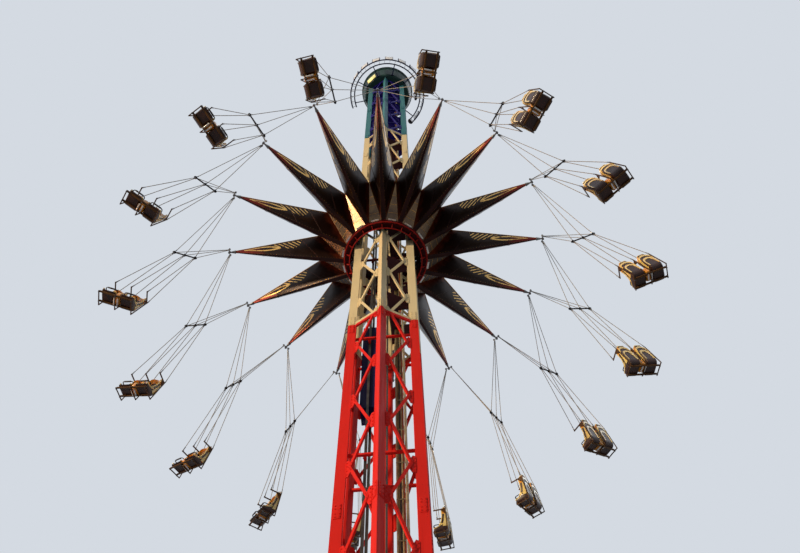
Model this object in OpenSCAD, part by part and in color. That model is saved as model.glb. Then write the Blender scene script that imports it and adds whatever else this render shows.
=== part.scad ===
// Chair-swing tower ride with a sixteen-pointed star, at half of real size.
// The tower stands on Z = 0 with its axis on Z; the post nearest the front points to -Y.
// Lengths are millimetres of the half-size model.

/* [Tower] */
// Distance from the axis to the outer edge of a post
corner_r = 660; // [600:1:720]
// Radial depth of a post behind its outer edge
post_depth = 135; // [110:1:150]
// Half width of a post across its two side edges
post_half_w = 76; // [60:1:90]
// Height of one bracing bay of the red and cream sections
bay = 1553; // [1450:1:1650]
// Bays of the red section
red_bays = 9; // [7:1:10]
// Bays of the cream section
cream_bays = 7; // [5:1:8]
// Height of one bracing bay of the blue head section
head_bay = 1465; // [1350:1:1550]
// Bays of the blue head section
blue_bays = 4; // [3:1:5]
// Width of a bracing bar in its face
brace_w = 42; // [30:1:60]
// Thickness of a bracing bar
brace_t = 30; // [20:1:40]
// Thickness of a gusset plate
gusset_t = 12; // [8:1:16]
// Height of a gusset plate
gusset_h = 330; // [240:1:400]
// How far a gusset plate reaches from its post
gusset_reach = 88; // [60:1:110]
// Height of the edge beam at the ends of a section
edge_beam_h = 70; // [50:1:100]

/* [Base] */
// Radius of the base plate to its corners
base_r = 900; // [820:1:1000]
// Thickness of the base plate
base_t = 60; // [40:1:90]
// Radius of the circle of anchor holes
anchor_circle_r = 745; // [730:1:755]
// Diameter of an anchor hole
anchor_d = 36; // [24:1:44]

/* [Inside the tower] */
// Width of the ladder between its stiles
ladder_w = 200; // [160:1:230]
// Distance of the ladder from the axis
ladder_x = 300; // [280:1:320]
// Diameter of a ladder stile
stile_d = 24; // [18:1:30]
// Diameter of a ladder rung
rung_d = 14; // [10:1:18]
// Diameter of a hoist rope
rope_d = 16; // [10:1:20]
// Width of the counterweight across
weight_w = 300; // [240:1:340]
// Depth of the counterweight
weight_d = 240; // [180:1:260]
// Height of the counterweight
weight_h = 2400; // [1800:1:2800]
// Height of the underside of the counterweight above the ground
weight_z = 11780; // [11600:1:12000]
// Distance of the counterweight from the axis
weight_x = 220; // [200:1:240]
// Width of a counterweight guide rail
rail_w = 36; // [24:1:44]

/* [Head] */
// Radius of the round cap
cap_r = 820; // [760:1:900]
// Height of the sloping underside of the cap
cap_under_h = 520; // [400:1:700]
// Height of the upright rim of the cap
cap_rim_h = 120; // [80:1:160]
// Rise of the domed roof above the rim
dome_h = 420; // [300:1:520]
// Radius of the outer sign hoop
hoop_r = 1205; // [1150:1:1280]
// Gap between the centre lines of the two sign hoops
hoop_gap = 125; // [90:1:160]
// Diameter of a hoop tube
hoop_d = 40; // [30:1:50]
// Height of the hoops above the foot of the cap
hoop_rise = 60; // [20:1:120]
// Angle of the hoops' first end
hoop_start = 166; // [150:1:180]
// Angle that the hoops run through
hoop_sweep = 245; // [200:1:260]
// Number of blank sign plates
sign_count = 12; // [8:1:14]
// Height of a sign plate
sign_h = 380; // [250:1:450]
// Width of a sign plate
sign_w = 250; // [150:1:300]
// Thickness of a sign plate
sign_t = 40; // [20:1:60]

/* [Star] */
// Height of the arm tips above the ground in the rest pose
tip_z = 18013; // [17800:1:18200]
// Radius of the circle through the arm tips
tip_r = 3200; // [3000:1:3400]
// Number of arms
arms = 16; // [16:1:16]
// Turn of the star in the rest pose
star_turn = 2.73; // [0:0.01:10]
// Outer radius of the hub ring
hub_r = 830; // [815:1:860]
// Radial width of the hub ring
hub_w = 76; // [60:1:78]
// Drop of the ring's underside below the arm tips
hub_drop = 718; // [650:1:780]
// Height of the top of the ring above the arm tips
hub_rise = 60; // [20:1:100]
// Radius of the valleys between the arms
valley_r = 1363; // [1250:1:1450]
// Height of the valleys above the arm tips
valley_rise = 26; // [0:1:80]
// Half angle of an arm's foot at the ring
foot_angle = 2.85; // [2:0.01:4]
// Height of the roof ridge above the arm tips at the hub
ridge_rise = 240; // [150:1:320]
// Length of the fitting at the end of an arm
tip_fitting = 90; // [70:1:110]
// Diameter of a hinge pin
pin_d = 18; // [14:1:22]

/* [Carriage] */
// Clearance between the posts and the carriage ring
carriage_gap = 45; // [42:1:60]
// Radial thickness of the carriage ring
carriage_t = 40; // [30:1:44]
// Radius of a guide roller
roller_r = 45; // [35:1:46]
// Width of a guide roller
roller_w = 60; // [50:1:64]

/* [Swings] */
// Angle of the swings from plumb in the rest pose
swing_angle = 18.1; // [10:0.1:25]
// Distance from the hinge line to the spreader bar
spreader_drop = 1872; // [1700:1:2000]
// Half length of the spreader bar
spreader_half = 206; // [160:1:240]
// Distance from the hinge line to the middle of the seats
seat_drop = 3856; // [3700:1:4000]
// Diameter of a swing cable
cable_d = 12; // [8:1:16]
// Width of one seat
seat_w = 236; // [200:1:270]
// Width of the console between the seats
console_w = 98; // [70:1:120]
// Height of the cheeks beside a rider
cheek_h = 110; // [80:1:130]
// Height of the hanger rails above the middle of the seats
hanger_rise = 235; // [200:1:300]
// Height of a seat back
back_h = 500; // [420:1:560]
// Depth of a seat pan
pan_d = 270; // [240:1:310]
// Thickness of the moulded shell
shell_t = 22; // [16:1:28]
// Inner radius of the bend between pan and back
bend_r = 60; // [40:1:80]

/* [Hidden] */

// Clearance between pieces that seat on each other
seat_gap = 0.3;
sides = 6;
base_z = base_t;
red_top = red_bays * bay;
cream_top = red_top + cream_bays * bay;
blue_top = cream_top + blue_bays * head_bay;
tower_foot_angle = -90;
hoop_z = blue_top + hoop_rise;

// Post section: a folded box with a sharp outer edge and two side lips
lip = 20;
post_side_u = corner_r - post_depth + lip;
face_half = sqrt(pow(post_side_u, 2) + pow(post_half_w, 2))
            * sin(180 / sides - atan(post_half_w / post_side_u));
face_apothem = sqrt(pow(post_side_u, 2) + pow(post_half_w, 2))
               * cos(180 / sides - atan(post_half_w / post_side_u));

// Gap between the counterweight and its rails, and the running gap of its shoes
rail_off = 8;
runner_gap = 0.5;

carriage_inner = corner_r + carriage_gap;
block_u = corner_r + 8;
carriage_outer = carriage_inner + carriage_t;
bearing_gap = 0.5;
carriage_flange_t = 40;
carriage_top = -60;
carriage_ring_h = 60;
roller_levels = [70 - hub_drop, carriage_top - carriage_ring_h - 90];

arm_step = 360 / arms;
hinge_half = tip_r * sin(arm_step / 2);
hinge_r = tip_r * cos(arm_step / 2);
eye_offset = 62;
eye_w = 24;
eye_gap = 0.1;
eye_r = pin_d / 2 + eye_gap + 12;
arm_end = tip_r - tip_fitting;
root_r = hub_r + seat_gap;
sector_gap = 0.02;

function arm_angle(i) = tower_foot_angle + star_turn + i * arm_step;
function swing_turn(i) = arm_angle(i) + arm_step / 2;
function on_ring(r, a, z) = [r * cos(a), r * sin(a), z];

// Put children at every tower corner, with +X pointing out through the post
module at_corners() {
    for (j = [0 : sides - 1]) rotate(tower_foot_angle + j * 360 / sides) children();
}

// One box post from z0 to z1
module post(z0, z1) {
    translate([0, 0, z0]) linear_extrude(z1 - z0)
        polygon([[corner_r, 0],
                 [post_side_u, post_half_w],
                 [post_side_u - lip, post_half_w - lip],
                 [post_side_u - lip, lip - post_half_w],
                 [post_side_u, -post_half_w]]);
}

// A flat bar between two points of a face
module bar2d(p, q, w) {
    translate(p) rotate(atan2(q[1] - p[1], q[0] - p[0]))
        translate([0, -w / 2]) square([norm(q - p), w]);
}

// A gusset plate against the post at side +1 or -1
module gusset2d(side, z) {
    edge = face_half - seat_gap;
    polygon([[side * edge, z - gusset_h / 2], [side * edge, z + gusset_h / 2],
             [side * (edge - gusset_reach * 0.45), z + gusset_h / 2],
             [side * (edge - gusset_reach), z + gusset_h / 6],
             [side * (edge - gusset_reach), z - gusset_h / 6],
             [side * (edge - gusset_reach * 0.45), z - gusset_h / 2]]);
}

// The bracing of one face: a zigzag of bars, gussets and two edge beams
module face_lacing(z0, bays, step) {
    top = bays * step;
    end = face_half - gusset_reach * 0.7;
    module zigzag() {
        for (k = [0 : bays - 1]) {
            bar2d([-end, k * step], [end, (k + 0.5) * step], brace_w);
            bar2d([end, (k + 0.5) * step], [-end, (k + 1) * step], brace_w);
        }
    }
    module plates() {
        for (k = [0 : bays]) gusset2d(-1, k * step);
        for (k = [0 : bays - 1]) gusset2d(1, (k + 0.5) * step);
    }
    module within() {
        intersection() {
            children();
            translate([-face_half, seat_gap]) square([2 * face_half, top - 2 * seat_gap]);
        }
    }
    module beams() {
        for (z = [seat_gap, top - seat_gap - edge_beam_h])
            translate([seat_gap - face_half, z])
                square([2 * (face_half - seat_gap), edge_beam_h]);
    }
    translate([0, face_apothem, z0]) rotate([90, 0, 0]) {
        translate([0, 0, -brace_t / 2]) linear_extrude(brace_t) {
            within() zigzag();
            beams();
        }
        translate([0, 0, -gusset_t / 2]) linear_extrude(gusset_t) within() plates();
    }
}

// The bracing of all faces; neighbouring faces mirror each other
module lacing(z0, bays, step) {
    for (j = [0 : sides - 1])
        rotate(tower_foot_angle + (j + 0.5) * 360 / sides - 90)
            mirror([j % 2, 0, 0]) mirror([1, 0, 0]) face_lacing(z0, bays, step);
}

module base_plate() {
    color("firebrick") difference() {
        rotate(tower_foot_angle) cylinder(r = base_r, h = base_t, $fn = sides);
        for (k = [0 : 2 * sides - 1])
            rotate(tower_foot_angle + (k + 0.5) * 180 / sides)
                translate([anchor_circle_r, 0, -1]) cylinder(d = anchor_d, h = base_t + 2, $fn = 24);
    }
}

module red_posts() { color("red") at_corners() post(base_z, red_top - seat_gap); }
module cream_posts() { color("wheat") at_corners() post(red_top, cream_top - seat_gap); }
module blue_posts() { color("teal") at_corners() post(cream_top, blue_top - seat_gap); }

module red_lacing() {
    color("red") difference() {
        lacing(0, red_bays, bay);
        translate([0, 0, -1]) cylinder(r = base_r, h = base_z + seat_gap + 1, $fn = sides);
    }
}
module cream_lacing() { color("wheat") lacing(red_top, cream_bays, bay); }
module blue_lacing() { color("darkslateblue") lacing(cream_top, blue_bays, head_bay); }

// Ladder inside the tower, from the base plate to the cap
module ladder() {
    rung_step = bay / 8;
    foot = base_z + seat_gap;
    top = blue_top - seat_gap;
    color("olive") translate([ladder_x, 0, 0]) {
        for (s = [-1, 1]) translate([0, s * ladder_w / 2, foot])
            cylinder(d = stile_d, h = top - foot, $fn = 6);
        for (z = [foot + rung_step : rung_step : top - rung_step / 2])
            translate([0, -ladder_w / 2, z]) rotate([-90, 0, 0])
                cylinder(d = rung_d, h = ladder_w, $fn = 6);
    }
}

// Cable run beside the ladder: a tray with three conduits in front
module cable_run() {
    foot = base_z + seat_gap;
    top = blue_top - seat_gap;
    color("saddlebrown") translate([200, 230, foot]) {
        translate([-60, 12, 0]) cube([120, 8, top - foot]);
        for (x = [-36, 0, 36]) translate([x, 0, 0])
            cylinder(d = 24.5, h = top - foot, $fn = 8);
    }
}

// Two rails that guide the counterweight
module guide_rails() {
    foot = base_z + seat_gap;
    top = blue_top - seat_gap;
    color("dimgray") for (s = [-1, 1])
        translate([-weight_x - rail_w / 2, s * (weight_w / 2 + rail_off) + (s < 0 ? -rail_w : 0), foot])
            cube([rail_w, rail_w, top - foot]);
}

// Fixed stretch of the hoist ropes from the head down beside the counterweight
module hoist_ropes() {
    foot = base_z + seat_gap;
    top = blue_top - seat_gap;
    color("dimgray") for (y = [-60, -20, 20, 60])
        translate([40, y, foot]) cylinder(d = rope_d, h = top - foot, $fn = 8);
}

// Sloping underside of the cap, from the posts out to the rim
module cap_underside() {
    color("darkslategray") translate([0, 0, blue_top]) rotate_extrude($fn = 48)
        polygon([[0, 0], [corner_r + 10, 0], [corner_r + 60, 60],
                 [cap_r, cap_under_h], [cap_r, cap_under_h + cap_rim_h],
                 [0, cap_under_h + cap_rim_h]]);
}

// Domed roof with a rolled edge
module cap_roof() {
    z0 = blue_top + cap_under_h + cap_rim_h + seat_gap;
    n = 10;
    color("darkslategray") translate([0, 0, z0]) rotate_extrude($fn = 48)
        polygon(concat([[0, 0], [cap_r + 25, 0], [cap_r + 25, 40]],
                       [for (k = [0 : n]) [cap_r * cos(90 * k / n), 40 + dome_h * sin(90 * k / n)]]));
}

module hoop_arc(r) {
    rotate(hoop_start) rotate_extrude(angle = hoop_sweep, $fn = 72)
        translate([r, 0]) circle(d = hoop_d, $fn = 8);
}

// Two sign hoops, tied together and held off the cap by brackets
module sign_hoops() {
    inner = hoop_r - hoop_gap;
    brackets = 6;
    ties = 18;
    slope = (cap_r - corner_r - 60) / (cap_under_h - 60);
    cap_side = corner_r + 60 + slope * (hoop_rise - 60 + 12) + seat_gap;
    color("midnightblue") translate([0, 0, hoop_z]) {
        hoop_arc(hoop_r);
        hoop_arc(inner);
        for (k = [0 : ties]) rotate(hoop_start + 2 + (hoop_sweep - 4) * k / ties)
            translate([inner, -8, -8]) cube([hoop_gap, 16, 16]);
        for (k = [0 : brackets]) rotate(hoop_start + 8 + (hoop_sweep - 16) * k / brackets)
            translate([cap_side, -15, -12]) cube([inner - cap_side, 30, 24]);
    }
}

// Blank sign plates standing on the outer hoop
module sign_plates() {
    color("white") for (k = [0 : sign_count - 1])
        rotate(hoop_start + hoop_sweep * (k + 0.5) / sign_count)
            translate([hoop_r - sign_t / 2, -sign_w / 2, hoop_z + hoop_d / 2 + seat_gap])
                cube([sign_t, sign_w, sign_h]);
}

// Oval lamp at the end of the hoops
module oval_lamp() {
    color("black") rotate(hoop_start + hoop_sweep)
        translate([hoop_r - hoop_gap / 2, 0.3, hoop_z]) rotate([-90, 0, 0]) {
            translate([0, 0, 0]) cylinder(r = 90, h = 60, $fn = 32);
            translate([0, 0, 60]) cylinder(r1 = 90, r2 = 60, h = 40, $fn = 32);
        }
}

// Counterweight block with shoes that run against the guide rails, and a rope sheave under it
module counterweight() {
    shoe_h = 160;
    sheave_r = 80;
    reach = rail_off - runner_gap;
    color("midnightblue") translate([-weight_x, 0, weight_z]) {
        translate([-weight_d / 2, -weight_w / 2, 0]) cube([weight_d, weight_w, weight_h]);
        for (z = [shoe_h, weight_h - 2 * shoe_h])
            translate([-rail_w / 2, -weight_w / 2 - reach, z])
                cube([rail_w, weight_w + 2 * reach, shoe_h]);
        translate([0, 28.5, -sheave_r - 30]) rotate([90, 0, 0]) cylinder(r = sheave_r, h = 57, $fn = 32);
        for (s = [-1, 1]) translate([-30, s * 34 - 6, -sheave_r - 50]) cube([60, 12, sheave_r + 51]);
    }
}

// Carriage: a bearing flange, a top ring, uprights and roller blocks
module carriage_frame() {
    flange_z = -hub_drop - bearing_gap - carriage_flange_t;
    color("maroon") translate([0, 0, tip_z]) {
        rotate_extrude($fn = 72) translate([carriage_inner, flange_z])
            square([hub_r - carriage_inner - 12, carriage_flange_t]);
        rotate_extrude($fn = 72) translate([carriage_inner, carriage_top - carriage_ring_h])
            square([carriage_t, carriage_ring_h]);
        at_corners() {
            translate([carriage_inner + 1, -60, flange_z + 1])
                cube([carriage_t - 4, 120, carriage_top - flange_z - 2]);
            for (z = roller_levels) translate([block_u, -78, z - 40])
                cube([carriage_inner + 4 - block_u, 156, 80]);
        }
    }
}

// Pairs of rollers that run on the two outer faces of each post
module guide_rollers() {
    axle_r = 9;
    run = sqrt(pow(post_depth - lip, 2) + pow(post_half_w, 2));
    along = [(lip - post_depth) / run, post_half_w / run];
    out = [along[1], -along[0]];
    mid = [corner_r - (post_depth - lip) / 2, post_half_w / 2];
    c = mid + out * (roller_r + seat_gap);
    axle = (block_u - seat_gap - c[0] - axle_r * out[0]) / -along[0];
    color("black") translate([0, 0, tip_z]) at_corners() for (s = [-1, 1], z = roller_levels)
        mirror([0, s < 0 ? 1 : 0, 0]) translate([c[0], c[1], z])
            rotate(atan2(-along[1], -along[0])) rotate([0, 90, 0]) {
                translate([0, 0, -roller_w / 2]) cylinder(r = roller_r, h = roller_w, $fn = 24);
                cylinder(r = axle_r, h = axle, $fn = 16);
            }
}

// Hub ring of the star: two rings, an upright under each arm and cross bracing
module hub_ring() {
    mid_r = hub_r - hub_w / 2 + 4;
    brace_x = mid_r * cos(arm_step / 2) - 7;
    brace_y = mid_r * sin(arm_step / 2) - 8;
    color("darkred") translate([0, 0, tip_z]) {
        rotate_extrude($fn = 96) translate([hub_r - hub_w, -hub_drop]) square([hub_w, 70]);
        rotate_extrude($fn = 96) translate([hub_r - hub_w, hub_rise - 70]) square([hub_w, 70]);
        for (i = [0 : arms - 1]) rotate(arm_angle(i)) {
            translate([hub_r - hub_w + 14, -22, -hub_drop + 1])
                cube([hub_w - 20, 44, hub_drop + hub_rise - 2]);
        }
        for (i = [0 : arms - 1], s = [-1, 1]) rotate(swing_turn(i))
            translate([brace_x, 0, 0]) rotate([90, 0, 90]) linear_extrude(14)
                bar2d([-s * brace_y, 40 - hub_drop], [s * brace_y, hub_rise - 40], 24);
    }
}

// Corner points of one arm in its own frame, +X out to the tip
function arm_points() = [
    [arm_end, 14, 0], [arm_end, -14, 0], [arm_end, 0, -22],
    on_ring(valley_r, arm_step / 2 - sector_gap, valley_rise),
    on_ring(valley_r, sector_gap - arm_step / 2, valley_rise),
    on_ring(root_r / cos(foot_angle), foot_angle, -hub_drop + 14),
    on_ring(root_r / cos(foot_angle), -foot_angle, -hub_drop + 14),
    on_ring(root_r / cos(arm_step / 2), arm_step / 2 - sector_gap, hub_rise),
    on_ring(root_r / cos(arm_step / 2), sector_gap - arm_step / 2, hub_rise),
    [root_r, 0, ridge_rise]];

// One arm: two deep keel faces, a two-sided roof and a sharp end
module arm_shell() {
    polyhedron(points = arm_points(), faces = [
        [0, 2, 1], [0, 3, 5], [0, 5, 2], [1, 6, 4], [1, 2, 6], [2, 5, 6],
        [0, 1, 9], [0, 9, 3], [1, 4, 9], [3, 9, 7], [4, 8, 9],
        [3, 7, 5], [4, 6, 8], [5, 7, 9], [6, 9, 8], [5, 9, 6]]);
}

module arm_shells() {
    color("saddlebrown") translate([0, 0, tip_z]) for (i = [0 : arms - 1])
        rotate(arm_angle(i)) arm_shell();
}

// Panels folded down from each valley to the ring
module valley_panels() {
    half = arm_step / 2 - foot_angle - 0.05;
    in_r = root_r / cos(foot_angle);
    apex = [valley_r - 6, 0, valley_rise - 4];
    chord_x = in_r * cos(half);
    lift_share = (root_r + 0.1 - chord_x) / (apex[0] - chord_x);
    foot = on_ring(in_r, half, -hub_drop + 14) * (1 - lift_share) + apex * lift_share;
    color("goldenrod") translate([0, 0, tip_z]) for (i = [0 : arms - 1])
        rotate(swing_turn(i)) polyhedron(
            points = [apex, foot, [foot[0], -foot[1], foot[2]],
                      [root_r / cos(arm_step / 2) + 2, 0, hub_rise - 12]],
            faces = [[0, 2, 1], [0, 1, 3], [0, 3, 2], [1, 2, 3]]);
}

// Tip fitting: a boss on the arm's end and a head with one hinge pin for each swing
module tip_fittings() {
    head_r = 24;
    washer_at = eye_offset + eye_w / 2 + 3;
    color("dimgray") translate([0, 0, tip_z]) for (i = [0 : arms - 1]) rotate(arm_angle(i)) {
        translate([arm_end + seat_gap, 0, -6]) rotate([0, 90, 0])
            cylinder(r = 16, h = tip_fitting - head_r + 6, $fn = 16);
        translate([tip_r, 0, -28]) cylinder(r = head_r, h = 56, $fn = 24);
        for (s = [-1, 1]) translate([tip_r, 0, 0]) rotate(s * (90 + arm_step / 2))
            rotate([0, 90, 0]) {
                cylinder(d = pin_d, h = washer_at + 8, $fn = 32);
                translate([0, 0, washer_at]) cylinder(r = 16, h = 8, $fn = 24);
            }
    }
}

// Frame of one swing: X out, Y along the hinge line, -Z down the cables
module swing_frame(i) {
    translate([0, 0, tip_z]) rotate(swing_turn(i)) translate([hinge_r, 0, 0])
        rotate([0, -swing_angle, 0]) children();
}

// A straight cable between two points, cut level at both ends
module cable(p, q) {
    d = q - p;
    over = cable_d / norm(d);
    intersection() {
        translate(p - d * over) rotate([0, acos(d[2] / norm(d)), atan2(d[1], d[0])])
            cylinder(d = cable_d, h = norm(d) + 2 * cable_d, $fn = 6);
        translate([min(p[0], q[0]) - 50, min(p[1], q[1]) - 50, q[2]])
            cube([abs(d[0]) + 100, abs(d[1]) + 100, p[2] - q[2]]);
    }
}

// Places on a swing: seats beside the console, hangers outside the seats
tub_x = console_w / 2 + 5 + seat_w / 2;
hang_w = 16;
hanger_x = tub_x + seat_w / 2 + seat_gap + hang_w / 2;
hanger_y = [-pan_d / 2 - shell_t + 7, pan_d / 2 - 75];
hanger_z = hanger_rise - seat_drop;
socket_h = 34;
pan_z = -seat_drop - 190;

// Rigging of a swing: two eyes with lugs, cables, a spreader bar with clamps, and sockets
module rigging(i) {
    bar_d = 26;
    clamp_h = 34;
    lug_z = -eye_r - 15;
    eye_y = hinge_half - eye_offset;
    apart = cable_d / 2 + 1.5;
    color("silver") swing_frame(i) {
        for (s = [-1, 1]) {
            difference() {
                union() {
                    translate([0, s * eye_y - eye_w / 2, 0]) rotate([-90, 0, 0])
                        cylinder(r = eye_r, h = eye_w, $fn = 32);
                    translate([-cable_d - 9, s * eye_y - eye_w / 2, lug_z])
                        cube([2 * cable_d + 18, eye_w, 24]);
                }
                translate([0, s * eye_y - eye_w, 0]) rotate([-90, 0, 0])
                    cylinder(r = pin_d / 2 + eye_gap, h = 2 * eye_w, $fn = 32);
            }
            for (x = [-1, 0, 1])
                cable([x * (cable_d + 2), s * eye_y, lug_z - seat_gap],
                      [x * spreader_half, s * apart, clamp_h / 2 + seat_gap - spreader_drop]);
        }
        translate([-spreader_half - 22, 0, -spreader_drop]) rotate([0, 90, 0])
            cylinder(d = bar_d, h = 2 * spreader_half + 44, $fn = 16);
        for (x = [-1, 0, 1]) translate([x * spreader_half - 15, -24, -spreader_drop - clamp_h / 2])
            cube([30, 48, clamp_h]);
        for (x = [-1, 0, 1], k = [0, 1]) {
            cable([x * spreader_half, (2 * k - 1) * apart, -spreader_drop - clamp_h / 2 - seat_gap],
                  [x * hanger_x, hanger_y[k], hanger_z + socket_h + 2 * seat_gap]);
            translate([x * hanger_x, hanger_y[k], hanger_z + seat_gap])
                cylinder(r = 11, h = socket_h, $fn = 16);
        }
    }
}

// Extrude a side outline, drawn in Y and Z, along X from the middle
module across(width) {
    translate([-width / 2, 0, 0]) rotate([90, 0, 90]) linear_extrude(width) children();
}

// One moulded bucket seat, open to the front: a pan bent up into the back, between two cheeks
module bucket() {
    back = -pan_d / 2;
    front = pan_d / 2;
    outer = bend_r + shell_t;
    function arc(r, a0, a1) = [for (k = [0 : 6]) [back + bend_r - r * cos(a0 + (a1 - a0) * k / 6),
                                                  bend_r - r * sin(a0 + (a1 - a0) * k / 6)]];
    intersection() {
        across(seat_w) polygon(concat(
            [[front, -shell_t], [front, 0]], arc(bend_r, 90, 0),
            [[back, back_h], [back - shell_t, back_h]], arc(outer, 0, 90)));
        translate([0, front + 1, 0]) rotate([90, 0, 0]) linear_extrude(pan_d + shell_t + 2) {
            translate([-seat_w / 2, -shell_t]) square([seat_w, back_h - seat_w / 2 + shell_t]);
            translate([0, back_h - seat_w / 2]) circle(r = seat_w / 2, $fn = 48);
        }
    }
    for (s = [-1, 1]) translate([s * (seat_w - shell_t) / 2, 0, 0]) across(shell_t) polygon(concat(
        [[front, -shell_t], [front, cheek_h * 0.4], [front - 40, cheek_h * 0.55],
         [front - 80, cheek_h * 0.84], [front - 95, cheek_h], [back + 65, cheek_h],
         [back + 40, cheek_h + 40], [back + 22, back_h * 0.48], [back + 12, back_h * 0.62],
         [back - 2, back_h * 0.7], [back - shell_t, back_h * 0.7]], arc(outer, 0, 90)));
}

// Lap bar that lies on the cheeks
module lap_bar() {
    reach = seat_w / 2 - shell_t / 2;
    z = cheek_h + seat_gap;
    for (s = [-1, 1]) translate([s * reach - 8, 70 - pan_d / 2, z]) cube([16, pan_d - 97, 16]);
    translate([-reach - 8, pan_d / 2 - 27, z + 8]) rotate([0, 90, 0])
        cylinder(d = 22, h = 2 * reach + 16, $fn = 16);
}

// Side frame of the seats: a top rail, an upright behind the seats and a foot rail
module hanger(foot_z) {
    rear = hanger_y[0] - 8;
    low = foot_z - seat_gap - 18;
    translate([-hang_w / 2, rear, 0]) {
        translate([0, 0, low]) cube([hang_w, 16, hanger_z - low]);
        translate([0, 0, hanger_z - 24]) cube([hang_w, hanger_y[1] - rear + 16, 24]);
        translate([0, 0, low]) cube([hang_w, pan_d / 2 - 20 - rear, 18]);
    }
}

// Double seat: two buckets and a console on cross tubes, in three side frames
module seat(i) {
    tube = 30;
    foot_z = pan_z - shell_t - seat_gap - tube;
    half = hanger_x + hang_w / 2;
    color("darkgoldenrod") swing_frame(i) {
        for (s = [-1, 1]) translate([s * tub_x, 0, pan_z]) {
            bucket();
            lap_bar();
        }
        translate([0, 0, pan_z]) across(console_w) polygon([
            [-120, -shell_t], [95, -shell_t], [95, 55], [60, 120], [-80, 145], [-120, 125]]);
        for (y = [40 - pan_d / 2, pan_d / 2 - 60]) translate([-half, y, foot_z])
            cube([2 * half, tube, tube]);
        for (x = [-1, 0, 1]) translate([x * hanger_x, 0, 0]) hanger(foot_z);
    }
}

base_plate();
red_posts();
red_lacing();
cream_posts();
cream_lacing();
blue_posts();
blue_lacing();
ladder();
cable_run();
guide_rails();
hoist_ropes();
cap_underside();
cap_roof();
sign_hoops();
sign_plates();
oval_lamp();
counterweight();
carriage_frame();
guide_rollers();
hub_ring();
arm_shells();
valley_panels();
tip_fittings();
rigging(0);  // rigging_01
rigging(1);  // rigging_02
rigging(2);  // rigging_03
rigging(3);  // rigging_04
rigging(4);  // rigging_05
rigging(5);  // rigging_06
rigging(6);  // rigging_07
rigging(7);  // rigging_08
rigging(8);  // rigging_09
rigging(9);  // rigging_10
rigging(10);  // rigging_11
rigging(11);  // rigging_12
rigging(12);  // rigging_13
rigging(13);  // rigging_14
rigging(14);  // rigging_15
rigging(15);  // rigging_16
seat(0);  // seat_01
seat(1);  // seat_02
seat(2);  // seat_03
seat(3);  // seat_04
seat(4);  // seat_05
seat(5);  // seat_06
seat(6);  // seat_07
seat(7);  // seat_08
seat(8);  // seat_09
seat(9);  // seat_10
seat(10);  // seat_11
seat(11);  // seat_12
seat(12);  // seat_13
seat(13);  // seat_14
seat(14);  // seat_15
seat(15);  // seat_16
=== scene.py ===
"""Looks of a chair-swing tower ride with a sixteen-pointed star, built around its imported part.

All lengths are metres of the half-size model, in the same frame as the solids: the tower stands
on Z = 0 with its axis on Z, and the post nearest the front points to -Y.
"""
import logging
import math
from dataclasses import dataclass, fields
from enum import Enum
from functools import partial
from typing import Callable, Iterable, Sequence

import bmesh
import bpy
from mathutils import Matrix, Vector


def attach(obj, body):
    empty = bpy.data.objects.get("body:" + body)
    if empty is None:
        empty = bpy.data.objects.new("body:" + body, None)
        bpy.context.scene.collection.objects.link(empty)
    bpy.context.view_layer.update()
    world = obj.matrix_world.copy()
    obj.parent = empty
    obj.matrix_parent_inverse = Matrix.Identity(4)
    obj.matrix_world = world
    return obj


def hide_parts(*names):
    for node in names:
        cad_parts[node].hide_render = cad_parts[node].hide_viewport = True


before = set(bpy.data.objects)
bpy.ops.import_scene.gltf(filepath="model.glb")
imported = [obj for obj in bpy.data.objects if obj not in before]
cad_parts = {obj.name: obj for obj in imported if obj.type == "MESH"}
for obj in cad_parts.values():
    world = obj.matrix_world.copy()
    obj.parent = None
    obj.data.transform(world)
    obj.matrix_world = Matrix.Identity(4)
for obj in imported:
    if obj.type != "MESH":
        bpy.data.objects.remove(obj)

log = logging.getLogger("tower_ride")

Link = tuple[bpy.types.Node, str | int]
Point = Sequence[float]
Surface = Callable[[float, float], Vector]


class Body(Enum):
    """Bodies of the frame that pieces ride on. Each swing has a body of its own."""

    TOWER = "tower"
    CARRIAGE = "carriage"
    STAR = "star"


class Bolt(Enum):
    """Hexagon bolts: width over the corners, height of the head and thickness of the washer."""

    GUSSET = (0.019, 0.007, 0.002)
    SMALL = (0.016, 0.006, 0.002)
    PLATE = (0.018, 0.007, 0.002)
    FLANGE = (0.030, 0.012, 0.004)
    HUB = (0.024, 0.009, 0.003)
    CLAMP = (0.016, 0.006, 0.0)


# Colours and nodes


def linear(code: str) -> tuple[float, float, float, float]:
    """Turns an sRGB hex colour into linear light.

    Args:
        code: six hex digits with a leading hash.

    Returns:
        Red, green, blue and an alpha of 1.
    """
    parts = [int(code[k:k + 2], 16) / 255 for k in (1, 3, 5)]
    red, green, blue = (c / 12.92 if c <= 0.04045 else ((c + 0.055) / 1.055) ** 2.4 for c in parts)
    return red, green, blue, 1.0


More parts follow.
